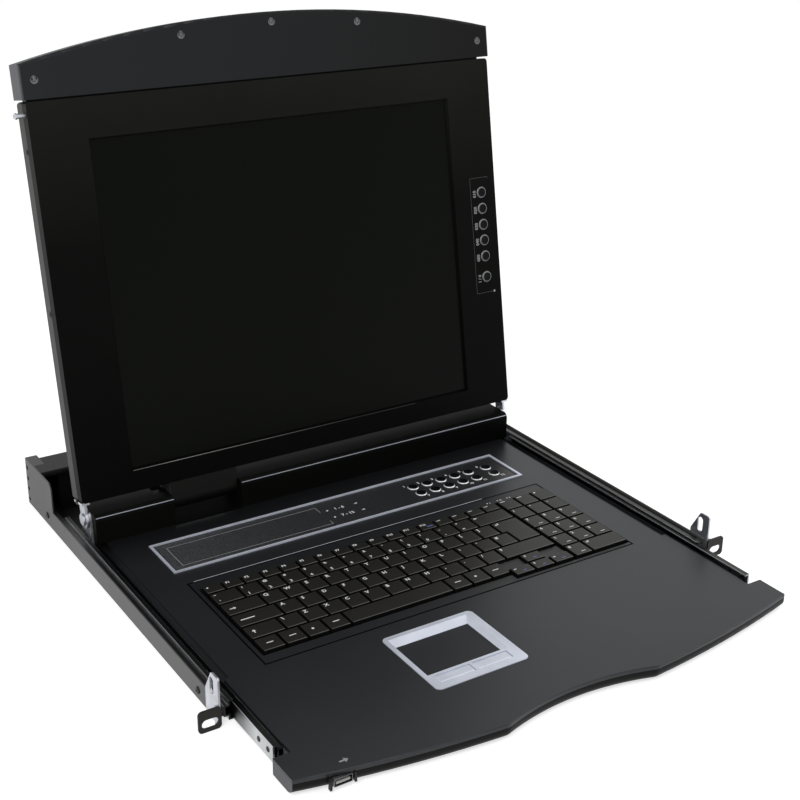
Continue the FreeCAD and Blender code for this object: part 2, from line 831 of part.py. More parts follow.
def keys_across(left, right, widths, front, depth):
    """One row of keys from left to right; the last key fills up to the right-hand end."""
    keys = []
    x = left
    for width in widths:
        keys.append((x, x + width, front, front + depth))
        x += width + key_gap
    if right - x > key_gap:
        keys.append((x, right, front, front + depth))
    return keys


def keyboard_rows():
    """Every key but the tall Enter key, as rectangles, in the group that it moves with."""
    depth = key_pitch_y - key_gap
    letters = [key_width] * keys_per_row
    function_width = (main_right - main_left + key_gap) / function_key_count - key_gap
    caps_key_width = tab_key_width + enter_key_step
    rows = {
        "keys_function_row": keys_across(main_left, main_right, [function_width] * function_key_count,
                                         row_front(key_row_count), function_row_depth),
        "keys_number_row": keys_across(main_left, main_right, [first_number_key_width] + letters,
                                       row_front(4), depth),
        "keys_tab_row": keys_across(main_left, enter_left - key_gap, [tab_key_width] + letters,
                                    row_front(3), depth),
        "keys_caps_row": keys_across(main_left, enter_left, [caps_key_width] + letters, row_front(2), depth),
        "keys_shift_row": keys_across(main_left, main_right, [left_shift_key_width] + letters[1:],
                                      row_front(1), depth),
        "keys_bottom_row": keys_across(main_left, main_left, bottom_row_widths, row_front(0), depth),
        "keys_number_pad": [],
    }
    front_arrows = keys_across(arrow_left, arrow_left, [arrow_width] * 3, pad_front, arrow_depth)
    rows["keys_bottom_row"] += front_arrows + [up_arrow_key()]
    pad_depth = pad_pitch_y - key_gap
    wide = 2 * pad_key_width + key_gap
    for level in range(pad_rows):
        widths = [pad_key_width, wide] if level == 0 else [pad_key_width] * pad_columns
        rows["keys_number_pad"] += keys_across(pad_left, pad_left, widths, pad_front + level * pad_pitch_y,
                                               pad_depth)
    return rows


def up_arrow_key():
    """The one arrow key behind the other three, with a piece of the frame on each side of it."""
    left = arrow_left + arrow_width + key_gap
    front = pad_front + arrow_depth + key_gap
    return (left, left + arrow_width, front, front + arrow_depth)


def tall_enter_outline(inset):
    """L-shaped Enter key over the caps and tab rows, drawn smaller all round by the inset."""
    low_left = enter_left + enter_key_step
    front = row_front(2)
    step = row_front(3)
    rear = step + key_pitch_y - key_gap
    return [(low_left + inset, front + inset), (main_right - inset, front + inset),
            (main_right - inset, rear - inset), (enter_left + inset, rear - inset),
            (enter_left + inset, step + inset), (low_left + inset, step + inset)]


def key_solid(key):
    x0, x1, y0, y1 = key
    low = rectangle(x0, x1, y0, y1)
    high = rectangle(x0 + key_taper, x1 - key_taper, y0 + key_taper, y1 - key_taper)
    return tapered(low, high, key_foot, key_top)


def key_stem(key, grow, bottom):
    """Square guide post under the middle of a key."""
    x0, x1, y0, y1 = key
    half = stem_size / 2 + grow
    x = (x0 + x1) / 2
    y = (y0 + y1) / 2
    return block(x - half, x + half, y - half, y + half, bottom, key_foot)


def enter_key_upper():
    """The part of the tall Enter key that lies in the tab row and carries its post."""
    return (enter_left + enter_key_step, main_right, row_front(3), row_front(3) + key_pitch_y - key_gap)


def key_groups():
    groups = {}
    for name, keys in keyboard_rows().items():
        solids = [key_solid(key).fuse(key_stem(key, 0, stem_bottom)) for key in keys]
        if name == "keys_tab_row":
            enter = tapered(tall_enter_outline(0), tall_enter_outline(key_taper), key_foot, key_top)
            solids.append(enter.fuse(key_stem(enter_key_upper(), 0, stem_bottom)))
        groups[name] = Part.makeCompound(solids)
    return groups


def keyboard_frame():
    """Flush frame with one deep well, and a floor with a guide hole for each key's post."""
    x0 = keyboard_left + fit_gap
    x1 = keyboard_right - fit_gap
    y0 = keyboard_front + fit_gap
    y1 = keyboard_rear - fit_gap
    low = key_floor - key_floor_thickness
    grow = keyboard_flange
    frame = block(x0, x1, y0, y1, -deck_thickness, 0)
    flange = block(x0 - grow, x1 + grow, y0 - grow, y1 + grow, low, -deck_thickness)
    frame = frame.fuse(flange)
    left = main_left - well_margin
    right = pad_right + well_margin
    rear = pad_front + pad_rows * pad_pitch_y - key_gap + well_margin
    step = bottom_row_right + well_margin_middle
    well = along_z([(left, main_front - well_margin), (step, main_front - well_margin),
                    (step, pad_front - well_margin), (right, pad_front - well_margin),
                    (right, rear), (left, rear)], key_floor, 0)
    up_left, up_right, up_front, _ = up_arrow_key()
    gap = well_margin_middle
    for x0, x1 in ((step, up_left - gap), (up_right + gap, main_right + gap)):
        well = well.cut(block(x0, x1, up_front - gap / 2, row_front(1) - gap, key_floor, 0))
    keys = [key for row in keyboard_rows().values() for key in row] + [enter_key_upper()]
    holes = Part.makeCompound([key_stem(key, running_gap, low) for key in keys])
    return frame.cut(well).cut(holes)


# ---- Port panel ----
def port_frame():
    """Raised silver frame, lapping over the edge of the inlay."""
    ring = block(port_panel_left, port_panel_right, port_panel_front, port_panel_rear, 0, port_frame_height)
    inset = port_frame_width + port_frame_lap
    window = block(port_panel_left + inset, port_panel_right - inset, port_panel_front + inset,
                   port_panel_rear - inset, 0, port_frame_height)
    return ring.cut(window)


def port_button_places():
    """Two rows of evenly spaced buttons, and a last column set apart."""
    columns = [port_panel_right - port_column_inset - number * port_column_pitch
               for number in reversed(range(port_column_count))]
    columns.append(port_panel_right - wide_column_inset)
    return [(x, port_panel_front + offset) for offset in port_row_offsets for x in columns]


def port_inlay():
    inset = port_frame_width + fit_gap
    grow = panel_flange
    upper = block(port_panel_left + inset, port_panel_right - inset, port_panel_front + inset,
                  port_panel_rear - inset, -deck_thickness, 0)
    lower = block(port_panel_left + inset - grow, port_panel_right - inset + grow,
                  port_panel_front + inset - grow, port_panel_rear - inset + grow,
                  -deck_thickness - panel_flange_thickness, -deck_thickness)
    inlay = upper.fuse(lower)
    depth = deck_thickness + panel_flange_thickness
    holes = [cylinder(button_radius + button_gap, Vector(x, y, -depth), Vector(0, 0, 1), depth)
             for x, y in port_button_places()]
    return inlay.cut(Part.makeCompound(holes))


def round_button(plate_thickness, proud):
    """Button on the Z axis, pressed down: Z = 0 is the face of the plate that it stands in."""
    foot_top = -plate_thickness - running_gap
    foot_bottom = foot_top - button_foot_thickness
    button = cylinder(button_radius, Vector(0, 0, foot_bottom), Vector(0, 0, 1), proud - foot_bottom)
    rim = [edge for edge in button.Edges if abs(edge.BoundBox.ZMin - proud) < 0.01]
    button = button.makeChamfer(button_rim, rim)
    half = button_radius + button_foot
    return button.fuse(block(-half, half, -half, half, foot_bottom, foot_top))


# ---- Touchpad ----
def touch_frame():
    """Frame with a sunk, sloping window for the pad and a slot for each button."""
    rim = rounded_block(touch_left, touch_right, touch_front, touch_rear, 0, touch_rim_height,
                        touch_corner, Vector(0, 0, 1))
    inset = touch_rim + fit_gap
    body = block(touch_left + inset, touch_right - inset, touch_front + inset, touch_rear - inset,
                 touch_body_bottom, 0)
    low = rectangle(touch_surface_left, touch_surface_right, touch_surface_front, touch_surface_rear)
    high = rectangle(touch_surface_left - touch_slope_x, touch_surface_right + touch_slope_x,
                     touch_surface_front - touch_slope_front, touch_surface_rear + touch_slope_rear)
    window = tapered(low, high, touch_surface_z, touch_rim_height)
    pocket = block(touch_surface_left, touch_surface_right, touch_surface_front, touch_surface_rear,
                   touch_surface_z - touch_surface_thickness, touch_surface_z)
    frame = rim.fuse(body).cut(window).cut(pocket)
    for x0, x1 in touch_button_spans(0):
        frame = frame.cut(block(x0, x1, touch_button_front, touch_button_rear, touch_body_bottom,
                                touch_rim_height))
    return frame


def touch_button_spans(inset):
    left = touch_left + touch_button_inset_left
    right = touch_right - touch_button_inset_right
    middle = (left + right) / 2
    half_divider = touch_rim / 2
    return [(left + inset, middle - half_divider - inset), (middle + half_divider + inset, right - inset)]


def touch_surface():
    return block(touch_surface_left, touch_surface_right, touch_surface_front, touch_surface_rear,
                 touch_surface_z - touch_surface_thickness, touch_surface_z)


def touch_button(x0, x1):
    """Bar button with bevelled top and a wider foot under the frame."""
    gap = touch_button_gap
    y0 = touch_button_front + gap
    y1 = touch_button_rear - gap
    top = touch_rim_height
    foot_top = touch_body_bottom - running_gap
    foot_bottom = foot_top - button_foot_thickness
    bar = block(x0, x1, y0, y1, foot_bottom, top)
    upper = [edge for edge in bar.Edges if abs(edge.BoundBox.ZMin - top) < 0.01]
    bar = bar.makeChamfer(touch_button_bevel, upper)
    grow = gap + running_gap
    foot = block(x0 - grow, x1 + grow, y0 - grow, y1 + grow, foot_bottom, foot_top)
    return bar.fuse(foot)


# ---- Hinge parts on the tray ----
def hinge_cover(x0, x1):
    """Thin cover over the hinge, with a rounded front edge, open underneath."""
    radius = hinge_cover_radius
    wall = hinge_cover_wall
    shell = block(x0, x1, hinge_cover_front, tray_rear, 0, hinge_cover_top)
    nose = [edge for edge in shell.Edges
            if all(abs(v.Y - hinge_cover_front) < 0.01 and abs(v.Z - hinge_cover_top) < 0.01
                   for v in edge.Vertexes)]
    shell = shell.makeFillet(radius, nose)
    room = block(x0 + wall, x1 - wall, hinge_cover_front + wall, tray_rear - wall, 0, hinge_cover_top - wall)
    nose = [edge for edge in room.Edges
            if all(abs(v.Y - hinge_cover_front - wall) < 0.01 and abs(v.Z - hinge_cover_top + wall) < 0.01
                   for v in edge.Vertexes)]
    return shell.cut(room.makeFillet(radius - wall, nose))


def left_hinge_cover():
    """The cover beside the cable knuckle, stepped down at its inner end."""
    x1 = knuckle_left - hinge_cover_gap
    cover = hinge_cover(-tray_half + running_gap, x1)
    step = x1 - notch_inset
    notch = block(step - notch_width, step, hinge_y, tray_rear, hinge_cover_top - notch_depth,
                  hinge_cover_top)
    floor = block(step - notch_width - hinge_cover_wall, step, hinge_y - hinge_cover_wall,
                  tray_rear - hinge_cover_wall, hinge_cover_top - notch_depth - hinge_cover_wall,
                  hinge_cover_top - hinge_cover_wall)
    return cover.fuse(floor).cut(notch).removeSplitter()


def hinge_bracket():
    """Plate on the tray's side with the hinge pin and its head."""
    foot_front = hinge_y - bracket_foot_front
    foot_rear = hinge_y + bracket_foot_rear
    boss = hinge_boss_radius
    plate = along_x([(foot_front, bracket_foot_z), (foot_rear, bracket_foot_z), (foot_rear, 0),
                     (hinge_y + boss, hinge_z), (hinge_y - boss, hinge_z), (foot_front, 0)],
                    tray_half, bracket_outside)
    axis = Vector(1, 0, 0)
    plate = plate.fuse(cylinder(boss, Vector(tray_half, hinge_y, hinge_z), axis, hinge_plate))
    head_start = leaf_outside + running_gap
    pin = cylinder(hinge_pin_radius, Vector(tray_half, hinge_y, hinge_z), axis, head_start - tray_half)
    head = cylinder(hinge_head_radius, Vector(head_start, hinge_y, hinge_z), axis, hinge_head_thickness)
    return plate.fuse(pin).fuse(head).removeSplitter()


# ---- LCD, drawn upright with the hinge axis at the origin ----
def hinge_leaf():
    """Plate on the pin, with a flange that is screwed under the screen housing."""
    axis = Vector(1, 0, 0)
    eye = cylinder(hinge_boss_radius, Vector(leaf_inside, 0, 0), axis, hinge_plate)
    arm = block(leaf_inside, leaf_outside, -leaf_half_width, leaf_half_width, 0, lcd_bottom)
    flange = block(tray_half, lcd_half, -leaf_flange_front, leaf_flange_rear,
                   lcd_bottom - hinge_plate, lcd_bottom)
    leaf = eye.fuse(arm).fuse(flange).removeSplitter()
    return leaf.cut(cylinder(hinge_pin_radius + hinge_pin_clearance, Vector(leaf_inside, 0, 0), axis,
                             hinge_plate))


def bezel():
    """Front frame of the screen with bevelled window, button holes and the lock pin's bore."""
    along = Vector(0, 1, 0)
    outer = rounded_block(-lcd_half, lcd_half, lcd_front, lcd_split, lcd_bottom, lcd_top, lcd_corner, along)
    inner = block(-lcd_half + lcd_wall, lcd_half - lcd_wall, lcd_front + bezel_plate, lcd_split,
                  lcd_bottom + lcd_wall, lcd_top - lcd_wall)
    frame = outer.cut(inner)
    half = screen_width / 2
    low = hinge_to_screen
    high = hinge_to_screen + screen_height
    grow = bezel_bevel
    rear = [Vector(x, lcd_front + bezel_plate, z) for x, z in rectangle(-half, half, low, high)]
    front = [Vector(x, lcd_front, z)
             for x, z in rectangle(-half - grow, half + grow, low - grow, high + grow)]
    window = Part.makeLoft([Part.makePolygon(rear + rear[:1]), Part.makePolygon(front + front[:1])],
                           True, True)
    frame = frame.cut(window)
    for z in osd_button_places():
        frame = frame.cut(cylinder(button_radius + button_gap, Vector(osd_button_x, lcd_front, z), along,
                                   bezel_plate))
    bore_start = Vector(-lcd_half, lcd_front + pin_depth, pin_height)
    return frame.cut(cylinder(pin_radius + pin_clearance, bore_start, Vector(1, 0, 0), lcd_wall))


def osd_button_places():
    return [hinge_to_screen + height for height in osd_button_heights]


def rear_shell():
    """Back of the screen housing, the neck that carries the end cap, and the cable knuckle."""
    shell = rounded_block(-lcd_half, lcd_half, lcd_split, lcd_back, lcd_bottom, lcd_top, lcd_corner,
                          Vector(0, 1, 0))
    wall = lcd_wall
    hollow = block(-lcd_half + wall, lcd_half - wall, lcd_split, lcd_back - wall, lcd_bottom + wall,
                   lcd_top - wall)
    inset = cap_neck_inset
    neck = block(-lcd_half + inset, lcd_half - inset, lcd_split, lcd_back - wall, lcd_top, cap_bottom)
    barrel = cylinder(hinge_to_front, Vector(knuckle_left, 0, 0), Vector(1, 0, 0),
                      knuckle_right - knuckle_left)
    web = block(knuckle_left, knuckle_right, -hinge_to_front, hinge_to_front, 0, lcd_bottom)
    return shell.cut(hollow).fuse(neck).fuse(barrel).fuse(web).removeSplitter()


def screen_panel():
    """Flat panel behind the bezel, on four short posts that stand on the rear shell."""
    half = screen_width / 2 + panel_margin_x
    low = hinge_to_screen - panel_margin_z
    high = hinge_to_screen + screen_height + panel_margin_z
    front = lcd_front + bezel_plate
    panel = block(-half, half, front, front + panel_thickness, low, high)
    post = panel_post
    for x in (-half, half - post):
        for z in (low, high - post):
            panel = panel.fuse(block(x, x + post, front + panel_thickness, lcd_back - lcd_wall, z, z + post))
    return panel


def cap_front():
    return lcd_front - cap_proud


def end_cap():
    """Bowed cap at the free edge, which lines up with the tray's front when folded."""
    half = wing_half
    side = hinge_y - front_y(half)
    between = half / 2
    y = cap_front()
    edges = [
        Part.makeLine(Vector(-half, y, cap_bottom), Vector(half, y, cap_bottom)),
        Part.makeLine(Vector(half, y, cap_bottom), Vector(half, y, side)),
        Part.Arc(Vector(half, y, side), Vector(0, y, cap_apex), Vector(-half, y, side)).toShape(),
        Part.makeLine(Vector(-half, y, side), Vector(-half, y, cap_bottom)),
    ]
    depth = lcd_thickness + 2 * cap_proud
    cap = Part.Face(Part.Wire(edges)).extrude(Vector(0, depth, 0))
    rim = []
    for edge in cap.Edges:
        box = edge.BoundBox
        flat = abs(box.YMax - box.YMin) < 0.01
        if flat and box.ZMax > cap_bottom + 0.1:
            rim.append(edge)
    cap = cap.makeFillet(cap_edge_radius, rim)
    along = Vector(0, 1, 0)
    for x, z in cap_screw_places():
        cap = cap.cut(cylinder(cap_screw_head_radius + button_gap, Vector(x, y, z), along, cap_screw_recess))
        cap = cap.cut(cylinder(cap_screw_shank_radius, Vector(x, y, z), along,
                               cap_screw_recess + cap_screw_length))
    return cap


def cap_screw_places():
    """Five places along the bow, each at its own distance from the cap's free edge."""
    right = zip((wing_half - cap_outer_screw_inset, cap_inner_screw_x, 0), cap_screw_edge_distances)
    places = [(x, hinge_y - front_y(x) - distance) for x, distance in right]
    return places + [(-x, z) for x, z in places[:2]]


def cap_screws():
    screws = []
    along = Vector(0, 1, 0)
    seat = cap_front() + cap_screw_recess
    for x, z in cap_screw_places():
        head = cylinder(cap_screw_head_radius, Vector(x, seat - cap_screw_head_height, z), along,
                        cap_screw_head_height)
        shank = cylinder(cap_screw_shank_radius, Vector(x, seat, z), along, cap_screw_length)
        screws.append(head.fuse(shank))
    return Part.makeCompound(screws)


def osd_button(z):
    button = round_button(bezel_plate, osd_button_proud)
    button.Placement = Placement(Vector(osd_button_x, lcd_front, z), Rotation(Vector(1, 0, 0), 90))
    return button


def lock_pin():
    """Sprung pin in the left side of the screen, with a bevelled head outside and a collar inside."""
    axis = Vector(1, 0, 0)
    y = lcd_front + pin_depth
    tip = -lcd_half - pin_reach
    inside = -lcd_half + lcd_wall
    head_end = tip + pin_head_length
    head = cylinder(pin_head_radius, Vector(tip, y, pin_height), axis, pin_head_length)
    rim = [edge for edge in head.Edges if abs(edge.BoundBox.XMax - tip) < 0.01]
    head = head.makeChamfer(pin_head_bevel, rim)
    shaft = cylinder(pin_radius, Vector(head_end, y, pin_height), axis, inside + pin_tail - head_end)
    start = inside + running_gap
    collar = block(start, start + pin_collar_thickness, y - pin_collar_half, y + pin_collar_half,
                   pin_height - pin_collar_half, pin_height + pin_collar_half)
    return head.fuse(shaft).fuse(collar)


# ---- Save every piece ----
os.makedirs("parts", exist_ok=True)
save("bottom_pan", bottom_pan())
save("side_plate_right", side_plate())
save("side_plate_left", mirrored(side_plate()))
save("rear_panel", rear_panel())
save("top_cover", top_cover())
save("outer_slides", pair(outer_slide()))
save("ear_tabs", pair(ear_tab()))
save("ear_plates", pair(ear_plate()))
save("port_connectors", port_connectors())
save("switch_board", switch_board())
save("power_supply", power_supply())
save("power_inlet", power_inlet())

save("middle_slides", pair(middle_slide()))

save("inner_slides", pair(inner_slide()))
save("deck", deck())
save("front_lip", front_lip())
save("tray_pan", tray_pan())
save("usb_socket", usb_socket())
save("keyboard_frame", keyboard_frame())
for group_name, group in key_groups().items():
    save(group_name, group)
save("port_frame", port_frame())
save("port_inlay", port_inlay())
for number, (button_x, button_y) in enumerate(port_button_places(), start=1):
    port_button = round_button(deck_thickness + panel_flange_thickness, button_proud)
    port_button.translate(Vector(button_x, button_y, 0))
    save("port_button_%02d" % number, port_button)
save("touchpad_frame", touch_frame())
save("touchpad_surface", touch_surface())
for side, (span_left, span_right) in zip(("left", "right"), touch_button_spans(touch_button_gap)):
    save("touchpad_button_" + side, touch_button(span_left, span_right))
save("hinge_cover_left", left_hinge_cover())
save("hinge_cover_right", hinge_cover(knuckle_right + hinge_cover_gap, tray_half - running_gap))
save("hinge_brackets", pair(hinge_bracket()))

save_lcd("hinge_leaves", pair(hinge_leaf()))
save_lcd("bezel", bezel())
save_lcd("rear_shell", rear_shell())
save_lcd("screen_panel", screen_panel())
save_lcd("end_cap", end_cap())
save_lcd("cap_screws", cap_screws())
for number, button_z in enumerate(osd_button_places(), start=1):
    save_lcd("osd_button_%d" % number, osd_button(button_z))
save_lcd("lock_pin", lock_pin())
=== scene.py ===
import json
import math

import bmesh
import bpy
from mathutils import Matrix, Vector


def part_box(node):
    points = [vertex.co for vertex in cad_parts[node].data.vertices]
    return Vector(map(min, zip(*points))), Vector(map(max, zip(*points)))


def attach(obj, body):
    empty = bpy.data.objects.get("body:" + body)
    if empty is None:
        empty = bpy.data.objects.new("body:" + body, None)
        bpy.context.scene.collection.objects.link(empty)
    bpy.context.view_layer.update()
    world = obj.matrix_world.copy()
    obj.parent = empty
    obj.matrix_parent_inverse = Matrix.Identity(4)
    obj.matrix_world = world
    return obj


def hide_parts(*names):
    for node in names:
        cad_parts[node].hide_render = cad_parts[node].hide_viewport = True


# Looks of a rackmount LCD console drawer, in metres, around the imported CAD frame.

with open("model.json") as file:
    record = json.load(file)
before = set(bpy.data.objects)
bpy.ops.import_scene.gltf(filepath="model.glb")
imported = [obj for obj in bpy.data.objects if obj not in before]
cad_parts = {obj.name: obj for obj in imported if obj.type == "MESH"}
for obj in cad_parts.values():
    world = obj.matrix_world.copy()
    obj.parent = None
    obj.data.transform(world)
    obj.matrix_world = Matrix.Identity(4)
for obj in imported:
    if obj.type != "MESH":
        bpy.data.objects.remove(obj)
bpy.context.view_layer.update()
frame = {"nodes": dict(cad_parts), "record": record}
nodes = frame["nodes"]

MM = 0.001
SCREEN_TILT = math.radians(9.8)
HINGE = Vector(next(j for j in frame["record"]["behaviour"]["joints"] if j["name"] == "lcd_hinge")["pos_m"])
ACROSS = Vector((1, 0, 0))
REARWARD = Vector((0, 1, 0))
UPWARD = Vector((0, 0, 1))
INK_DEPTH = 0.04 * MM
LCD_UP = Vector((0, math.sin(SCREEN_TILT), math.cos(SCREEN_TILT)))
LCD_OUT = Vector((0, -math.cos(SCREEN_TILT), math.sin(SCREEN_TILT)))


def box(node):
    """A node's lowest and highest corners at rest."""
    low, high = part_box(node)
    return Vector(low), Vector(high)


# ---- Materials ----
def new_material(name):
    """A fresh node material: the material, its node tree and its main shader."""
    material = bpy.data.materials.new(name)
    material.use_nodes = True
    tree = material.node_tree
    shader = tree.nodes["Principled BSDF"]
    return material, tree, shader


def texture_coordinates(tree):
    """The object's own coordinates, so that a pattern moves with its piece."""
    return tree.nodes.new("ShaderNodeTexCoord").outputs["Object"]


def noise(tree, scale, detail=2.0, roughness=0.5, source=None):
    """A cloudy value from 0 to 1."""
    node = tree.nodes.new("ShaderNodeTexNoise")
    node.inputs["Scale"].default_value = scale
    node.inputs["Detail"].default_value = detail
    node.inputs["Roughness"].default_value = roughness
    tree.links.new(source or texture_coordinates(tree), node.inputs["Vector"])
    return node.outputs["Fac"]


def ramp(tree, value, low, high, low_at=0.3, high_at=0.7):
    """Turns a 0 to 1 value into a colour between two colours."""
    node = tree.nodes.new("ShaderNodeValToRGB")
    node.color_ramp.elements[0].position = low_at
    node.color_ramp.elements[0].color = (*low, 1)
    node.color_ramp.elements[1].position = high_at
    node.color_ramp.elements[1].color = (*high, 1)
    tree.links.new(value, node.inputs["Fac"])
    return node.outputs["Color"]


def spread(tree, value, low, high):
    """Maps a 0 to 1 value onto the range from low to high."""
    node = tree.nodes.new("ShaderNodeMapRange")
    node.inputs["To Min"].default_value = low
    node.inputs["To Max"].default_value = high
    tree.links.new(value, node.inputs["Value"])
    return node.outputs["Result"]


def bump(tree, height, shader, distance):
    """Lets a value raise and sink the surface by a distance in metres."""
    node = tree.nodes.new("ShaderNodeBump")
    node.inputs["Distance"].default_value = distance
    node.inputs["Strength"].default_value = 1.0
    tree.links.new(height, node.inputs["Height"])
    tree.links.new(node.outputs["Normal"], shader.inputs["Normal"])


def shade(colour, factor):
    """The colour made darker or lighter by a factor."""
    return tuple(min(1.0, channel * factor) for channel in colour)


def powder_coat(name, colour, roughness, grain=2600.0, depth=0.00003, contrast=0.12, specular=0.5):
    """Fine-textured satin paint: pebbled bump, and slow drifts of tone and gloss."""
    material, tree, shader = new_material(name)
    coordinates = texture_coordinates(tree)
    pebbles = noise(tree, grain, 2.0, 0.6, coordinates)
    drift = noise(tree, 14.0, 3.0, 0.55, coordinates)
    tree.links.new(ramp(tree, drift, shade(colour, 1 - contrast), shade(colour, 1 + contrast)),
                   shader.inputs["Base Color"])
    tree.links.new(spread(tree, pebbles, roughness - 0.07, roughness + 0.07), shader.inputs["Roughness"])
    shader.inputs["Specular IOR Level"].default_value = specular
    bump(tree, pebbles, shader, depth)
    return material


def galvanised(name, colour, roughness=0.34, grain=260.0):
    """Zinc-plated steel: soft spangles in tone and gloss, and fine rolling lines."""
    material, tree, shader = new_material(name)
    coordinates = texture_coordinates(tree)
    cells = tree.nodes.new("ShaderNodeTexVoronoi")
    cells.inputs["Scale"].default_value = grain
    tree.links.new(coordinates, cells.inputs["Vector"])
    cloud = noise(tree, 60.0, 4.0, 0.6, coordinates)
    tree.links.new(ramp(tree, cloud, shade(colour, 0.82), shade(colour, 1.1)), shader.inputs["Base Color"])
    tree.links.new(spread(tree, cells.outputs["Distance"], roughness - 0.06, roughness + 0.12),
                   shader.inputs["Roughness"])
    shader.inputs["Metallic"].default_value = 1.0
    bump(tree, noise(tree, 900.0, 3.0, 0.6, coordinates), shader, 0.00002)
    return material


def moulded(name, colour, roughness, grain=5200.0, depth=0.00002, specular=0.5, metallic=0.0):
    """Injection-moulded plastic with a spark-eroded grain."""
    material, tree, shader = new_material(name)
    coordinates = texture_coordinates(tree)
    fine = noise(tree, grain, 2.0, 0.7, coordinates)
    slow = noise(tree, 35.0, 3.0, 0.5, coordinates)
    tree.links.new(ramp(tree, slow, shade(colour, 0.9), shade(colour, 1.1)), shader.inputs["Base Color"])
    tree.links.new(spread(tree, fine, roughness - 0.05, roughness + 0.05), shader.inputs["Roughness"])
    shader.inputs["Specular IOR Level"].default_value = specular
    shader.inputs["Metallic"].default_value = metallic
    bump(tree, fine, shader, depth)
    return material


def printed(name, colour):
    """Pad-printed ink, slightly uneven."""
    material, tree, shader = new_material(name)
    tree.links.new(ramp(tree, noise(tree, 1800.0), shade(colour, 0.86), colour), shader.inputs["Base Color"])
    shader.inputs["Roughness"].default_value = 0.55
    return material


def speckled_film(name, dark, light, roughness):
    """Printed polyester film with a fine light speckle in it."""
    material, tree, shader = new_material(name)
    coordinates = texture_coordinates(tree)
    specks = noise(tree, 1500.0, 3.0, 0.7, coordinates)
    tree.links.new(ramp(tree, specks, dark, light, 0.38, 0.72), shader.inputs["Base Color"])
    tree.links.new(spread(tree, specks, roughness - 0.06, roughness + 0.06), shader.inputs["Roughness"])
    bump(tree, specks, shader, 0.00004)
    return material


def screen_glass():
    """Dark anti-glare panel, faintly green, with a soft sheen."""
    material, tree, shader = new_material("screen_glass")
    coordinates = texture_coordinates(tree)
    haze = noise(tree, 3.0, 2.0, 0.5, coordinates)
    tree.links.new(ramp(tree, haze, (0.0010, 0.0017, 0.0008), (0.0018, 0.0027, 0.0015)),
                   shader.inputs["Base Color"])
    fine = noise(tree, 6000.0, 1.0, 0.5, coordinates)
    tree.links.new(spread(tree, fine, 0.22, 0.30), shader.inputs["Roughness"])
    shader.inputs["Specular IOR Level"].default_value = 0.06
    bump(tree, fine, shader, 0.000003)
    return material


def slide_steel_painted_shade(name, side_colour, top_colour):
    """Slide steel with painted shade: bright on its upright faces, and painted dark on those that face up."""
    material, tree, shader = new_material(name)
    coordinates = texture_coordinates(tree)
    facing = tree.nodes.new("ShaderNodeNewGeometry")
    parts = tree.nodes.new("ShaderNodeSeparateXYZ")
    tree.links.new(facing.outputs["Normal"], parts.inputs["Vector"])
    tree.links.new(ramp(tree, parts.outputs["Z"], side_colour, top_colour, 0.25, 0.75),
                   shader.inputs["Base Color"])
    tree.links.new(spread(tree, noise(tree, 240.0, 3.0, 0.6, coordinates), 0.26, 0.44),
                   shader.inputs["Roughness"])
    shader.inputs["Metallic"].default_value = 1.0
    bump(tree, noise(tree, 900.0, 3.0, 0.6, coordinates), shader, 0.00002)
    return material


def side_lit_coat(name, side_colour, front_colour, roughness, specular):
    """Powder coat with painted light: paler on the faces that look to the left and right."""
    material, tree, shader = new_material(name)
    coordinates = texture_coordinates(tree)
    facing = tree.nodes.new("ShaderNodeNewGeometry")
    parts = tree.nodes.new("ShaderNodeSeparateXYZ")
    tree.links.new(facing.outputs["Normal"], parts.inputs["Vector"])
    size = tree.nodes.new("ShaderNodeMath")
    size.operation = "ABSOLUTE"
    tree.links.new(parts.outputs["X"], size.inputs[0])
    tree.links.new(ramp(tree, size.outputs["Value"], front_colour, side_colour, 0.3, 0.9),
                   shader.inputs["Base Color"])
    pebbles = noise(tree, 2600.0, 2.0, 0.6, coordinates)
    tree.links.new(spread(tree, pebbles, roughness - 0.07, roughness + 0.07), shader.inputs["Roughness"])
    shader.inputs["Specular IOR Level"].default_value = specular
    bump(tree, pebbles, shader, 0.00003)
    return material


def painted_shading(material, axis, stops):
    """Scales the colour along one axis of the object: pairs of a place in metres and a factor.

    The factors follow the shading of the photograph, and stay fixed to the object.
    """
    tree = material.node_tree
    shader = tree.nodes["Principled BSDF"]
    parts = tree.nodes.new("ShaderNodeSeparateXYZ")
    tree.links.new(texture_coordinates(tree), parts.inputs["Vector"])
    along = tree.nodes.new("ShaderNodeMapRange")
    along.inputs["From Min"].default_value = stops[0][0]
    along.inputs["From Max"].default_value = stops[-1][0]
    tree.links.new(parts.outputs[axis], along.inputs["Value"])
    scale = tree.nodes.new("ShaderNodeValToRGB")
    while len(scale.color_ramp.elements) < len(stops):
        scale.color_ramp.elements.new(0.5)
    for element, (place, factor) in zip(scale.color_ramp.elements, stops):
        element.position = (place - stops[0][0]) / (stops[-1][0] - stops[0][0])
        element.color = (factor, factor, factor, 1)
    tree.links.new(along.outputs["Result"], scale.inputs["Fac"])
    product = tree.nodes.new("ShaderNodeMix")
    product.data_type = "RGBA"
    product.blend_type = "MULTIPLY"
    product.inputs["Factor"].default_value = 1.0
    tree.links.new(shader.inputs["Base Color"].links[0].from_socket, product.inputs["A"])
    tree.links.new(scale.outputs["Color"], product.inputs["B"])
    tree.links.new(product.outputs["Result"], shader.inputs["Base Color"])
    return material


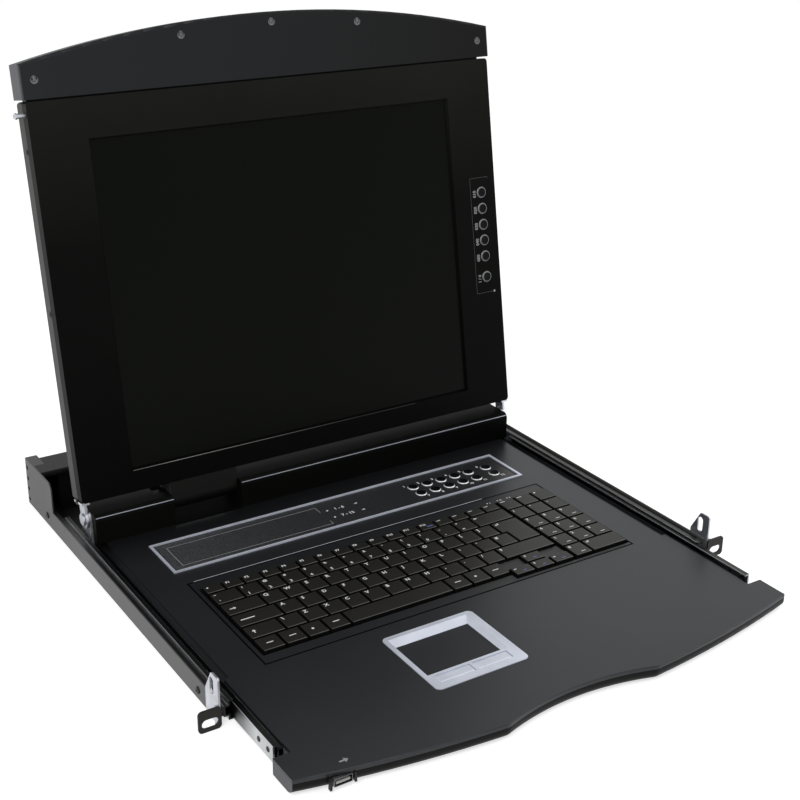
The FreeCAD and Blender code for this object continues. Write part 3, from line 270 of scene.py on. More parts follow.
DECK = powder_coat("deck_paint", (0.0165, 0.0170, 0.0190), 0.36, specular=0.38)
DECK.node_tree.nodes["Principled BSDF"].inputs["Specular Tint"].default_value = (0.88, 0.93, 1.0, 1)
# Painted shade: the deck is made darker towards the hinge covers.
painted_shading(DECK, "Y", ((0.070, 1.0), (0.118, 0.25)))
# Painted light and shade: the hinge covers are lighter on the left and darker towards the right.
COVER = painted_shading(powder_coat("cover_paint", (0.0040, 0.0041, 0.0036), 0.46, specular=0.04), "X",
              ((-0.21, 1.0), (0.0, 0.8), (0.21, 0.25)))
# Painted light: the lip is paler on its faces that look left and right.
LIP = side_lit_coat("lip_paint", (0.130, 0.130, 0.140), (0.0045, 0.0045, 0.0042), 0.42, 0.10)
# Painted shade and reflection: the bezel is darker towards the bottom and lighter towards the top.
BEZEL = painted_shading(powder_coat("bezel_paint", (0.0128, 0.0134, 0.0118), 0.46, specular=0.045), "Z",
              ((0.047, 0.06), (0.25, 0.18), (0.368, 1.0)))
# Painted light and shade: the end cap is paler on its side faces, lighter on the left and darker towards the
# right.
CAP = painted_shading(side_lit_coat("cap_paint", (0.115, 0.115, 0.125), (0.0150, 0.0160, 0.0172), 0.46, 0.13), "X",
            ((-0.22, 1.25), (-0.19, 1.1), (0.05, 0.68), (0.22, 0.06)))
# Painted shade: the chassis paint is made darker towards the rear.
SIDE = painted_shading(powder_coat("chassis_paint", (0.066, 0.066, 0.066), 0.42, specular=0.50), "Y",
             ((-0.14, 1.0), (0.13, 0.85), (0.21, 0.22)))
# Painted highlight: a paler copy of the chassis paint for the chamfered edges.
SIDE_EDGE_HIGHLIGHT = powder_coat("chassis_edge_highlight", (0.120, 0.120, 0.120), 0.42)
REAR = powder_coat("cover_plate_paint", (0.0090, 0.0090, 0.0085), 0.42, specular=0.15)
# Painted light: the rear shell is paler on its faces that look left and right.
SHELL = side_lit_coat("shell_paint", (0.040, 0.041, 0.039), (0.0030, 0.0030, 0.0027), 0.44, 0.16)
ZINC = galvanised("zinc_plate", (0.56, 0.58, 0.62))
# Painted shade: the slide steel is dark on the faces that look up.
SLIDE = slide_steel_painted_shade("slide_steel_painted_shade", (0.50, 0.51, 0.53), (0.050, 0.052, 0.048))
# Painted shade: the inner slides are dark on the faces that look up, and darker towards the rear.
INNER_SLIDE = painted_shading(slide_steel_painted_shade("inner_slide_steel", (0.52, 0.53, 0.54), (0.050, 0.052, 0.048)), "Y",
                    ((-0.196, 0.85), (-0.172, 1.0), (-0.150, 0.30), (-0.141, 0.10)))
EAR = powder_coat("ear_paint", (0.0080, 0.0070, 0.0052), 0.42, specular=0.25)
SILVER = moulded("silver_paint", (0.72, 0.76, 0.86), 0.36, 3000.0, 0.00001, metallic=0.30)
# Painted light: the film is lighter on the left and darker towards the right.
INLAY = painted_shading(speckled_film("panel_film", (0.012, 0.0125, 0.014), (0.150, 0.153, 0.165), 0.36), "X",
              ((-0.17, 1.0), (-0.05, 0.55), (0.16, 0.20)))
KEY = moulded("key_plastic", (0.0125, 0.0118, 0.0100), 0.42, specular=0.30)
# Painted shade and highlight: a darker copy of the key plastic for the key sides, and a paler one for the
# front bevels.
KEY_SIDE_SHADE = moulded("key_side_painted_shade", (0.0030, 0.0030, 0.0028), 0.50, specular=0.08)
KEY_EDGE_HIGHLIGHT = moulded("key_edge_painted_highlight", (0.070, 0.068, 0.062), 0.35, specular=0.50)
WELL = moulded("well_plastic", (0.0110, 0.0118, 0.0135), 0.40, specular=0.36)
GAP = moulded("gap_shadow", (0.0015, 0.0015, 0.0015), 0.60, specular=0.02)
BUTTON = moulded("button_plastic", (0.0035, 0.0035, 0.0040), 0.34, specular=0.08)
RIM = moulded("button_rim", (0.85, 0.86, 0.88), 0.30, 3000.0, 0.00001, metallic=0.2)
DULL_RIM = moulded("screen_button_rim", (0.20, 0.205, 0.21), 0.34, 3000.0, 0.00001)
PAD = moulded("pad_surface", (0.0150, 0.0158, 0.0190), 0.42, specular=0.28)
INK = printed("white_ink", (0.93, 0.94, 0.95))
DULL_INK = printed("grey_ink", (0.34, 0.35, 0.36))
# Painted highlight: a pale line that fades out towards the right, for the lower edge of the screen opening.
PAINTED_HIGHLIGHT_LINE = painted_shading(printed("painted_highlight_line", (0.40, 0.40, 0.39)), "X",
                    ((-0.160, 0.5), (-0.13, 1.0), (0.0, 0.22), (0.05, 0.04)))
FAINT_INK = printed("faint_ink", (0.040, 0.041, 0.040))
BLUE_INK = printed("blue_ink", (0.20, 0.26, 0.72))
LENS = moulded("lamp_lens", (0.42, 0.44, 0.42), 0.25)
SCREW = galvanised("dark_steel", (0.16, 0.16, 0.17), 0.36, 120.0)
BLACK_SCREW = moulded("black_screw", (0.008, 0.008, 0.008), 0.38, specular=0.25)
BOARD = moulded("circuit_board", (0.02, 0.12, 0.05), 0.35)
BLACK_PLASTIC = moulded("black_plastic", (0.010, 0.010, 0.010), 0.42, specular=0.2)
PALE_PLASTIC = moulded("pale_plastic", (0.40, 0.41, 0.38), 0.40)
BLUE_PLASTIC = moulded("blue_plastic", (0.012, 0.030, 0.150), 0.40)
GOLD = galvanised("gold_contact", (0.80, 0.60, 0.25), 0.25, 300.0)
GLASS = screen_glass()

NODE_MATERIALS = {
    "bottom_pan": SIDE, "side_plate_left": SIDE, "side_plate_right": SIDE, "rear_panel": REAR,
    "top_cover": REAR, "outer_slides": SLIDE, "ear_tabs": ZINC, "ear_plates": EAR,
    "port_connectors": ZINC, "switch_board": BOARD, "power_supply": REAR, "power_inlet": BLACK_PLASTIC,
    "middle_slides": SLIDE, "inner_slides": SLIDE, "deck": DECK, "front_lip": LIP, "tray_pan": DECK,
    "hinge_cover_left": COVER, "hinge_cover_right": COVER, "hinge_brackets": ZINC, "usb_socket": SCREW,
    "keyboard_frame": WELL, "port_frame": SILVER, "port_inlay": INLAY, "touchpad_frame": SILVER,
    "touchpad_surface": PAD, "touchpad_button_left": SILVER, "touchpad_button_right": SILVER,
    "hinge_leaves": ZINC, "bezel": BEZEL, "rear_shell": SHELL, "screen_panel": GLASS, "end_cap": CAP,
    "cap_screws": SCREW, "lock_pin": ZINC,
}


def finish_of(name):
    """The material that a CAD node gets."""
    if name.startswith("keys_"):
        return KEY
    if name.startswith(("port_button", "osd_button")):
        return BUTTON
    return NODE_MATERIALS[name]


for node_name, node in nodes.items():
    node.data.materials.clear()
    node.data.materials.append(finish_of(node_name))


# ---- Shapes ----
def add_piece(name, shape, body, materials, slot, replaced=(), crease=35.0):
    """Makes a mesh object of the shape, hangs it on the empty of its body and hides the nodes it replaces;
    the slot is not used.
    """
    mesh = bpy.data.meshes.new(name)
    bmesh.ops.recalc_face_normals(shape, faces=shape.faces)
    shape.to_mesh(mesh)
    shape.free()
    for material in materials:
        mesh.materials.append(material)
    mesh.shade_smooth()
    mesh.set_sharp_from_angle(angle=math.radians(crease))
    piece = bpy.data.objects.new(name, mesh)
    bpy.context.scene.collection.objects.link(piece)
    weighted = piece.modifiers.new("weighted", "WEIGHTED_NORMAL")
    weighted.weight = 100
    weighted.keep_sharp = True
    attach(piece, body)
    if replaced:
        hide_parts(*replaced)


def welded(node):
    """The node's mesh with its faces joined along their edges, and flat faces made whole."""
    shape = bmesh.new()
    shape.from_mesh(nodes[node].data)
    bmesh.ops.remove_doubles(shape, verts=shape.verts, dist=0.002 * MM)
    bmesh.ops.dissolve_limit(shape, angle_limit=math.radians(0.6), verts=shape.verts, edges=shape.edges)
    return shape


def loose_boxes(shape):
    """Lowest and highest corner of each separate solid of a mesh."""
    met = set()
    boxes = []
    for start in shape.verts:
        if start in met:
            continue
        met.add(start)
        waiting = [start]
        points = []
        while waiting:
            corner = waiting.pop()
            points.append(corner.co.copy())
            for edge in corner.link_edges:
                other = edge.other_vert(corner)
                if other not in met:
                    met.add(other)
                    waiting.append(other)
        boxes.append((Vector([min(p[k] for p in points) for k in range(3)]),
                      Vector([max(p[k] for p in points) for k in range(3)])))
    return boxes


def soften(shape, width, above=-1.0, segments=2):
    """Rounds the sharp edges that lie above a height."""
    sharp = [edge for edge in shape.edges if edge.is_manifold and edge.calc_face_angle(0.0) > math.radians(25)
             and min(edge.verts[0].co.z, edge.verts[1].co.z) > above]
    bmesh.ops.bevel(shape, geom=sharp, offset=width, segments=segments, profile=0.5, affect="EDGES",
                    clamp_overlap=True)


def plate(shape, outline, origin, across, upward, thickness, material=0):
    """A flat plate: the outline's 2-D points on a plane, thickened along the plane's normal."""
    out = across.cross(upward)
    lower = [shape.verts.new(origin + across * x + upward * y) for x, y in outline]
    upper = [shape.verts.new(corner.co + out * thickness) for corner in lower]
    faces = [shape.faces.new(upper), shape.faces.new(lower[::-1])]
    count = len(outline)
    for index in range(count):
        following = (index + 1) % count
        faces.append(shape.faces.new((lower[index], lower[following], upper[following], upper[index])))
    for face in faces:
        face.material_index = material


def bar(shape, x0, x1, y0, y1, origin, across, upward, thickness, material=0):
    """A rectangular plate between two places across and two places upward."""
    plate(shape, ((x0, y0), (x1, y0), (x1, y1), (x0, y1)), origin, across, upward, thickness, material)


def turned(shape, profile, centre, axis, sides=32, material_of=None):
    """A turned form from points of radius and height along the axis, closed by a flat face at each end."""
    across = axis.orthogonal().normalized()
    upward = axis.cross(across)
    rings = []
    for radius, height in profile:
        ring = []
        for index in range(sides):
            angle = 2 * math.pi * index / sides
            offset = (across * math.cos(angle) + upward * math.sin(angle)) * radius
            ring.append(shape.verts.new(centre + axis * height + offset))
        rings.append(ring)
    for level in range(len(rings) - 1):
        for index in range(sides):
            following = (index + 1) % sides
            face = shape.faces.new((rings[level][index], rings[level][following], rings[level + 1][following],
                                    rings[level + 1][index]))
            face.material_index = material_of(level) if material_of else 0
    shape.faces.new(rings[0][::-1])
    shape.faces.new(rings[-1])


def screw_head(shape, centre, out, radius, height):
    """A pan head with a real cross recess."""
    sides = 24
    across = out.orthogonal().normalized()
    upward = out.cross(across)

    def ring(reach, level):
        return [shape.verts.new(centre + out * level + (across * math.cos(2 * math.pi * k / sides)
                                                        + upward * math.sin(2 * math.pi * k / sides)) * reach)
                for k in range(sides)]

    rings = [ring(radius, -0.3 * MM), ring(radius, 0.5 * height), ring(0.84 * radius, height)]
    for lower, upper in zip(rings, rings[1:]):
        for k in range(sides):
            shape.faces.new((lower[k], lower[(k + 1) % sides], upper[(k + 1) % sides], upper[k]))
    shape.faces.new(rings[0][::-1])
    arm, slot = 0.56 * radius, 0.13 * radius
    cross = [(slot, arm), (-slot, arm), (-slot, slot), (-arm, slot), (-arm, -slot), (-slot, -slot),
             (-slot, -arm), (slot, -arm), (slot, -slot), (arm, -slot), (arm, slot), (slot, slot)]
    mouth = [shape.verts.new(centre + out * height + across * x + upward * y) for x, y in cross]
    floor_of_cross = [shape.verts.new(corner.co - out * 0.7 * height) for corner in mouth]
    for k in range(len(cross)):
        after = (k + 1) % len(cross)
        shape.faces.new((mouth[k], mouth[after], floor_of_cross[after], floor_of_cross[k]))
    shape.faces.new(floor_of_cross)
    border = [edge for corners in (rings[-1], mouth) for edge in
              {shape.edges.get((corners[k], corners[(k + 1) % len(corners)])) for k in range(len(corners))}]
    bmesh.ops.triangle_fill(shape, use_beauty=True, use_dissolve=False, edges=border)


def letters(shape, words, size, origin, across, upward, material=0):
    """Printed characters, a thin raised layer of ink."""
    curve = bpy.data.curves.new("characters", "FONT")
    curve.body = words
    curve.size = size
    curve.extrude = INK_DEPTH / 2
    curve.offset = 0.028 * size
    curve.resolution_u = 2
    holder = bpy.data.objects.new("characters", curve)
    mesh = bpy.data.meshes.new_from_object(holder)
    out = across.cross(upward)
    mesh.transform(Matrix.Translation(origin + out * INK_DEPTH / 2)
                   @ Matrix((across, upward, out)).transposed().to_4x4())
    start = len(shape.faces)
    shape.from_mesh(mesh)
    shape.faces.ensure_lookup_table()
    for face in shape.faces[start:]:
        face.material_index = material
    bpy.data.objects.remove(holder)
    bpy.data.meshes.remove(mesh)
    bpy.data.curves.remove(curve)


ARROW = ((0.0, 0.38), (0.45, 0.0), (0.45, 0.27), (1.0, 0.27), (1.0, 0.49), (0.45, 0.49), (0.45, 0.76))
SIGNS = {
    "left": ARROW,
    "right": tuple((1 - x, y) for x, y in ARROW[::-1]),
    "up": tuple((y, 1 - x) for x, y in ARROW[::-1]),
    "down": tuple((y, x) for x, y in ARROW),
    "enter": ((0.0, 0.35), (0.42, 0.0), (0.42, 0.25), (1.0, 0.25), (1.0, 1.0), (0.78, 1.0), (0.78, 0.45),
              (0.42, 0.45), (0.42, 0.7)),
    "tab": ((0.0, 0.27), (0.75, 0.27), (0.75, 0.0), (1.2, 0.38), (0.75, 0.76), (0.75, 0.49), (0.0, 0.49)),
    "bar": ((0.0, 0.35), (1.5, 0.35), (1.5, 0.6), (0.0, 0.6)),
    "long bar": ((0.0, 0.35), (2.6, 0.35), (2.6, 0.6), (0.0, 0.6)),
    "dot": tuple((0.35 + 0.3 * math.cos(k * math.pi / 5), 0.45 + 0.3 * math.sin(k * math.pi / 5))
                 for k in range(10)),
}


def sign(shape, name, size, origin, across, upward, material=0):
    """A character or one of the drawn signs, with its lower left corner at the origin."""
    if name in SIGNS:
        outline = [(x * size * 0.75, y * size * 0.75) for x, y in SIGNS[name]]
        plate(shape, outline, origin, across, upward, INK_DEPTH, material)
    elif name:
        letters(shape, name, size, origin, across, upward, material=material)


def frame_line(shape, x0, x1, y0, y1, gap, origin, across, upward, width, material=0):
    """A rectangle drawn as a thin line, open on its right side between the two gap heights."""
    bar(shape, x0, x1, y1 - width, y1, origin, across, upward, INK_DEPTH, material)
    bar(shape, x0, x1, y0, y0 + width, origin, across, upward, INK_DEPTH, material)
    bar(shape, x0, x0 + width, y0 + width, y1 - width, origin, across, upward, INK_DEPTH, material)
    for start, end in ((y0 + width, gap[0]), (gap[1], y1 - width)):
        bar(shape, x1 - width, x1, start, end, origin, across, upward, INK_DEPTH, material)


def ring_plate(shape, low, high, width, z0, z1, material=0):
    """A closed rectangular ring, from its outer corners and its width."""
    loops = []
    for inset, z in ((0.0, z0), (0.0, z1), (width, z1), (width, z0)):
        loops.append([shape.verts.new((x, y, z)) for x, y in (
            (low.x + inset, low.y + inset), (high.x - inset, low.y + inset),
            (high.x - inset, high.y - inset), (low.x + inset, high.y - inset))])
    for first, second in zip(loops, loops[1:] + loops[:1]):
        for k in range(4):
            after = (k + 1) % 4
            face = shape.faces.new((first[k], first[after], second[after], second[k]))
            face.material_index = material


def highlighted_edges(shape, width, shortest):
    """Chamfers the long sharp edges and gives the chamfers the second material, a paler one as painted
    highlight.
    """
    long_edges = [edge for edge in shape.edges if edge.is_manifold and edge.calc_length() > shortest
                  and edge.calc_face_angle(0.0) > math.radians(40)]
    made = bmesh.ops.bevel(shape, geom=long_edges, offset=width, segments=1, profile=0.5, affect="EDGES",
                           clamp_overlap=True)
    for face in made["faces"]:
        face.material_index = 1


def reach(node, axis):
    """Least and greatest distance of a node's points along an axis."""
    distances = [corner.co.dot(axis) for corner in nodes[node].data.vertices]
    return min(distances), max(distances)


# ---- Keys ----
KEY_INSET = 1.0 * MM
FUNCTION_SIGNS = ["dot"] + ["F%d" % n for n in range(1, 13)] + ["bar", "bar", "bar", "bar"]
NUMBER_SIGNS = list("`1234567890-=") + ["left"]
NUMBER_SHIFTED = list("~!@#$%^&*()_+") + [""]
TAB_SIGNS = ["tab"] + list("QWERTYUIOP[]") + ["enter"]
CAPS_SIGNS = ["long bar"] + list("ASDFGHJKL;'#")
SHIFT_SIGNS = ["up"] + list("\\ZXCVBNM,./") + ["up"]
BOTTOM_SIGNS = ["bar", "bar", "dot", "bar", "", "bar", "dot", "bar"]
ARROW_SIGNS = ["left", "down", "right"]
PAD_SIGNS = [["0", "enter"], ["1", "2", "3"], ["4", "5", "6"], ["7", "8", "9"], ["/", "*", "-"],
             ["bar", "bar", "dot"]]
LETTER = 5.0 * MM
SMALL_LETTER = 3.8 * MM
TOP_SPREAD = 0.62
WIDE_KEY = 20 * MM
LOW_KEY = 13 * MM
BLUE_MARK_KEY = 12


def rear_left(low, high, size):
    """Where a legend of a size starts on a key: at its rear left."""
    return Vector((low.x + KEY_INSET + 1.0 * MM, high.y - KEY_INSET - 0.7 * MM - 0.7 * size, high.z))


def middle_left(low, high, size):
    """Half way back on the key's left."""
    return Vector((low.x + KEY_INSET + 3.0 * MM, (low.y + high.y) / 2 - 0.35 * size, high.z))


def centred(low, high, size):
    """Round the middle of the key."""
    return Vector(((low.x + high.x) / 2 - 0.55 * size, (low.y + high.y) / 2 - 0.35 * size, high.z))


def front_left(low, high, _size):
    """At the key's front left."""
    return Vector((low.x + KEY_INSET + 1.7 * MM, low.y + KEY_INSET + 0.9 * MM, high.z))


def front_right(low, high, _size):
    """Right of the middle, at the key's front."""
    return Vector((low.x + 0.46 * (high.x - low.x), low.y + KEY_INSET + 1.2 * MM, high.z))


def key_row(node, marks, slot="keys"):
    """A copy of a row of keys with broad tops and rounded edges, and the legends printed on it."""
    shape = welded(node)
    boxes = loose_boxes(shape)
    top = max(high.z for low, high in boxes)
    for corner in [vertex for vertex in shape.verts if vertex.co.z > top - 0.01 * MM]:
        feet = [edge.other_vert(corner) for edge in corner.link_edges
                if edge.other_vert(corner).co.z < top - 0.05 * MM]
        if feet:
            sideways = feet[0].co - corner.co
            corner.co += Vector((sideways.x, sideways.y, 0)) * TOP_SPREAD
    soften(shape, 0.34 * MM, above=top - 0.6 * MM)
    shape.normal_update()
    # Key tops get the key plastic, front bevels its paler copy as painted highlight, and the sides its darker
    # copy as painted shade.
    for face in shape.faces:
        if face.normal.z > 0.97 and face.calc_center_median().z > top - 0.05 * MM:
            face.material_index = 0
        elif face.calc_center_median().z > top - 0.6 * MM and face.normal.y < -0.3:
            face.material_index = 2
        elif face.calc_center_median().z > top - 0.4 * MM:
            face.material_index = 0
        else:
            face.material_index = 1
    body = node + "_body"
    add_piece(node + "_caps", shape, body, [KEY, KEY_SIDE_SHADE, KEY_EDGE_HIGHLIGHT], slot, replaced=[node], crease=40.0)
    print_shape = bmesh.new()
    for low, high, name, size, place, material in marks(boxes):
        sign(print_shape, name, size, place(low, high, size), ACROSS, REARWARD, material)
    add_piece(node + "_legends", print_shape, body, [INK, BLUE_INK], slot)


def simple_marks(signs, shifted=()):
    """Legends for one plain row: a sign for each key, and for some a second one above it."""
    def marks(boxes):
        row = sorted(boxes, key=lambda pair: pair[0].x)
        for index, ((low, high), name) in enumerate(zip(row, signs)):
            if shifted and shifted[index]:
                yield low, high, shifted[index], SMALL_LETTER, rear_left, 0
                yield low, high, name, 0.9 * LETTER, front_left, 0
            elif high.x - low.x > WIDE_KEY and index == 0:
                yield low, high, name, 1.2 * LETTER, middle_left, 0
            else:
                yield low, high, name, LETTER, rear_left, 0
    return marks


def bottom_marks(boxes):
    """Legends for the space bar's row, with the low arrow keys in two levels at its right."""
    main = sorted([pair for pair in boxes if pair[1].y - pair[0].y > LOW_KEY], key=lambda pair: pair[0].x)
    for (low, high), name in zip(main, BOTTOM_SIGNS):
        yield low, high, name, LETTER, centred, 0
    small = [pair for pair in boxes if pair[1].y - pair[0].y <= LOW_KEY]
    front = min(low.y for low, high in small)
    lower = sorted([pair for pair in small if pair[0].y < front + 2 * MM], key=lambda pair: pair[0].x)
    upper = [pair for pair in small if pair[0].y >= front + 2 * MM]
    for (low, high), name in zip(lower, ARROW_SIGNS):
        yield low, high, name, SMALL_LETTER, rear_left, 0
        yield low, high, "bar", 0.8 * SMALL_LETTER, front_right, 1
    for low, high in upper:
        yield low, high, "up", SMALL_LETTER, rear_left, 0
        yield low, high, "bar", 0.8 * SMALL_LETTER, front_right, 1


def pad_marks(boxes):
    """Legends for the number pad, row by row from the front."""
    rows = {}
    for pair in boxes:
        rows.setdefault(round(pair[0].y / (4 * MM)), []).append(pair)
    for signs, level in zip(PAD_SIGNS, sorted(rows)):
        for (low, high), name in zip(sorted(rows[level], key=lambda pair: pair[0].x), signs):
            yield low, high, name, 0.9 * LETTER, rear_left, 0
            if name.isdigit():
                yield low, high, "bar", 0.75 * LETTER, front_right, 0


def function_marks(boxes):
    """Legends for the function row; one key has a second, blue mark."""
    row = sorted(boxes, key=lambda pair: pair[0].x)
    for index, ((low, high), name) in enumerate(zip(row, FUNCTION_SIGNS)):
        yield low, high, name, SMALL_LETTER, rear_left, 0
        if index == BLUE_MARK_KEY:
            yield low, high, "bar", 1.3 * SMALL_LETTER, front_right, 1


key_row("keys_function_row", function_marks)
key_row("keys_number_row", simple_marks(NUMBER_SIGNS, NUMBER_SHIFTED))
key_row("keys_tab_row", simple_marks(TAB_SIGNS))
key_row("keys_caps_row", simple_marks(CAPS_SIGNS))
key_row("keys_shift_row", simple_marks(SHIFT_SIGNS))
key_row("keys_bottom_row", bottom_marks)
key_row("keys_number_pad", pad_marks)

# ---- Round buttons ----
BUTTON_RADIUS = 5.2 * MM
RIM_DROP = 0.75 * MM


def round_button(node, out, upward, centre_across, rim, rim_levels):
    """A black button with a silver sloping rim and a shallow dish, standing for the CAD one."""
    bottom, top = reach(node, out)
    low_up, high_up = reach(node, upward)
    centre = ACROSS * centre_across + upward * (low_up + high_up) / 2 + out * top
    depth = top - bottom
    profile = [(6.1 * MM, -depth), (6.1 * MM, -depth + 0.8 * MM), (BUTTON_RADIUS, -depth + 0.8 * MM),
               (BUTTON_RADIUS, -RIM_DROP), (4.50 * MM, -0.04 * MM), (4.38 * MM, 0.0), (4.05 * MM, -0.03 * MM),
               (3.7 * MM, -0.22 * MM), (2.2 * MM, -0.38 * MM), (0.5 * MM, -0.42 * MM)]
    shape = bmesh.new()
    turned(shape, profile, centre, out, 40, lambda level: 1 if level in rim_levels else 0)
    add_piece(node + "_button", shape, node + "_body", [BUTTON, rim], "button", replaced=[node])
    return centre


port_centres = []
for number in range(1, 13):
    low, high = box("port_button_%02d" % number)
    port_centres.append(round_button("port_button_%02d" % number, UPWARD, REARWARD, (low.x + high.x) / 2,
                                     RIM, (3,)))
osd_centres = []
for number in range(1, 7):
    low, high = box("osd_button_%d" % number)
    osd_centres.append(round_button("osd_button_%d" % number, LCD_OUT, LCD_UP, (low.x + high.x) / 2,
                                    DULL_RIM, (3, 4, 5)))

# ---- Print on the port panel ----
LABEL_SIDE_BORDER = 9.4 * MM
LABEL_FRONT_BORDER = 6.8 * MM
LABEL_WIDTH = 140.3 * MM
LABEL_DEPTH = 33.3 * MM
LABEL_GAP_FRONT = 6.0 * MM
LABEL_GAP_REAR = 23.0 * MM
LABEL_LINE = 0.55 * MM
REAR_BUTTONS = 6
inlay_low, inlay_high = box("port_inlay")
panel_print = bmesh.new()
label_left = inlay_low.x + LABEL_SIDE_BORDER
label_right = label_left + LABEL_WIDTH
label_front = inlay_low.y + LABEL_FRONT_BORDER
frame_line(panel_print, label_left, label_right, label_front, label_front + LABEL_DEPTH,
           (label_front + LABEL_GAP_FRONT, label_front + LABEL_GAP_REAR), UPWARD * inlay_high.z,
           ACROSS, REARWARD, LABEL_LINE, 1)
for number, centre in enumerate(port_centres, start=1):
    beside = Vector((-7.4 * MM, 4.0 * MM)) if number <= REAR_BUTTONS else Vector((2.8 * MM, -8.2 * MM))
    spot = Vector((centre.x + beside.x, centre.y + beside.y, inlay_high.z))
    letters(panel_print, "%d" % number, 4.4 * MM, spot, ACROSS, REARWARD)
for row_centre, words in ((port_centres[0], "1 - 6"), (port_centres[REAR_BUTTONS], "7 - 12")):
    spot = Vector((label_right + 5.5 * MM, row_centre.y - 1.2 * MM, inlay_high.z))
    letters(panel_print, words, 5.2 * MM, spot + ACROSS * 8 * MM, ACROSS, REARWARD)
    sign(panel_print, "dot", 4.6 * MM, spot, ACROSS, REARWARD)
    sign(panel_print, "right", 4.6 * MM, spot + ACROSS * 28 * MM, ACROSS, REARWARD)
add_piece("port_panel_print", panel_print, "drawer", [INK, DULL_INK], "inlay")

# ---- Silver frame round the port panel, narrower than the CAD one ----
FRAME_WIDTH = 2.2 * MM
frame_low, frame_high = box("port_frame")
silver_frame = bmesh.new()
ring_plate(silver_frame, frame_low, frame_high, FRAME_WIDTH, frame_low.z, frame_high.z)
soften(silver_frame, 0.35 * MM, above=frame_high.z - 0.1 * MM)
add_piece("port_panel_frame", silver_frame, "drawer", [SILVER], "silver", replaced=["port_frame"])

# ---- Steel channels and side plates, with painted highlights on their chamfered edges ----
EDGE_HIGHLIGHT_WIDTH = 0.22 * MM
SHORTEST_HIGHLIGHTED = 60 * MM
BEHIND_EAR_FRONT = 3.0 * MM
slides = welded("middle_slides")
slide_end = box("ear_plates")[0].y + BEHIND_EAR_FRONT
bmesh.ops.bisect_plane(slides, geom=slides.verts[:] + slides.edges[:] + slides.faces[:], dist=0.0001 * MM,
                       plane_co=(0, slide_end, 0), plane_no=(0, -1, 0), clear_outer=True)
bmesh.ops.holes_fill(slides, edges=[edge for edge in slides.edges if edge.is_boundary], sides=0)
highlighted_edges(slides, EDGE_HIGHLIGHT_WIDTH, SHORTEST_HIGHLIGHTED)
slides.normal_update()
# Painted shade: the end faces across the slides get the black third material.
for face in slides.faces:
    if abs(face.normal.y) > 0.9:
        face.material_index = 2
add_piece("slide_channels", slides, "slide_members", [SLIDE, ZINC, BLACK_SCREW], "zinc",
          replaced=["middle_slides"])
# Painted highlight: each part's chamfers get its paler second material.
for node_name, body, slot_name, faces, edges in (
        ("side_plate_left", "chassis", "chassis_paint", SIDE, SIDE_EDGE_HIGHLIGHT),
        ("side_plate_right", "chassis", "chassis_paint", SIDE, SIDE_EDGE_HIGHLIGHT),
        ("outer_slides", "chassis", "zinc", SLIDE, ZINC),
        ("inner_slides", "drawer", "zinc", INNER_SLIDE, ZINC)):
    channel = welded(node_name)
    highlighted_edges(channel, EDGE_HIGHLIGHT_WIDTH, SHORTEST_HIGHLIGHTED)
    add_piece(node_name + "_edged", channel, body, [faces, edges], slot_name, replaced=[node_name])

SLIDE_SCREW_ROWS = (-188.7 * MM, -175.7 * MM)
inner_low, inner_high = box("inner_slides")
slide_screws = bmesh.new()
for outward, face_x in ((-1, inner_low.x), (1, inner_high.x)):
    for y in SLIDE_SCREW_ROWS:
        centre = Vector((face_x, y, (inner_low.z + inner_high.z) / 2))
        screw_head(slide_screws, centre, ACROSS * outward, 2.1 * MM, 0.4 * MM)
add_piece("slide_screws", slide_screws, "drawer", [BLACK_SCREW], "steel")

# ---- Keyboard frame: lamps, painted shadow along the gap line, and a painted highlight on the rear edge ----
LAMP_RADIUS = 0.7 * MM
LAMP_ROW_FROM_REAR = 13.9 * MM
LAMPS_FROM_RIGHT = ((62.4 * MM, "1"), (51.3 * MM, "A"), (40.8 * MM, "dot"))
GAP_WIDTH = 1.25 * MM
SUNK = 0.02 * MM
well_high = box("keyboard_frame")[1]
lamp_print = bmesh.new()
for distance, words in LAMPS_FROM_RIGHT:
    spot = Vector((well_high.x - distance, well_high.y - LAMP_ROW_FROM_REAR, well_high.z))
    sign(lamp_print, words, 3.0 * MM, spot, ACROSS, REARWARD)
    turned(lamp_print, [(LAMP_RADIUS, 0.0), (LAMP_RADIUS, 0.10 * MM), (0.45 * MM, 0.2 * MM)],
           spot + Vector((-2.0 * MM, 1.2 * MM, 0)), UPWARD, 12)
add_piece("keyboard_lamps", lamp_print, "drawer", [INK], "keys")
rim_points = [corner.co for corner in nodes["keyboard_frame"].data.vertices
              if corner.co.z > well_high.z - 0.01 * MM]
rim_low = Vector((min(p.x for p in rim_points), min(p.y for p in rim_points), 0))
rim_high = Vector((max(p.x for p in rim_points), max(p.y for p in rim_points), 0))
# Painted shadow: a dark ring round the keyboard well, where the frame meets the deck.
gap_shadow_line = bmesh.new()
ring_plate(gap_shadow_line, rim_low, rim_high, GAP_WIDTH, well_high.z - SUNK, well_high.z + INK_DEPTH)
add_piece("keyboard_gap_shadow", gap_shadow_line, "drawer", [GAP], "keys")
# Painted highlight: a thin bright strip along the rear edge of the keyboard well.
rear_highlight = bmesh.new()
bar(rear_highlight, rim_low.x + 6.0 * MM, rim_high.x - 60.0 * MM, rim_high.y + 0.1 * MM, rim_high.y + 0.7 * MM,
    UPWARD * (well_high.z - SUNK), ACROSS, REARWARD, 0.14 * MM)
add_piece("keyboard_rear_highlight", rear_highlight, "drawer", [SILVER], "keys")

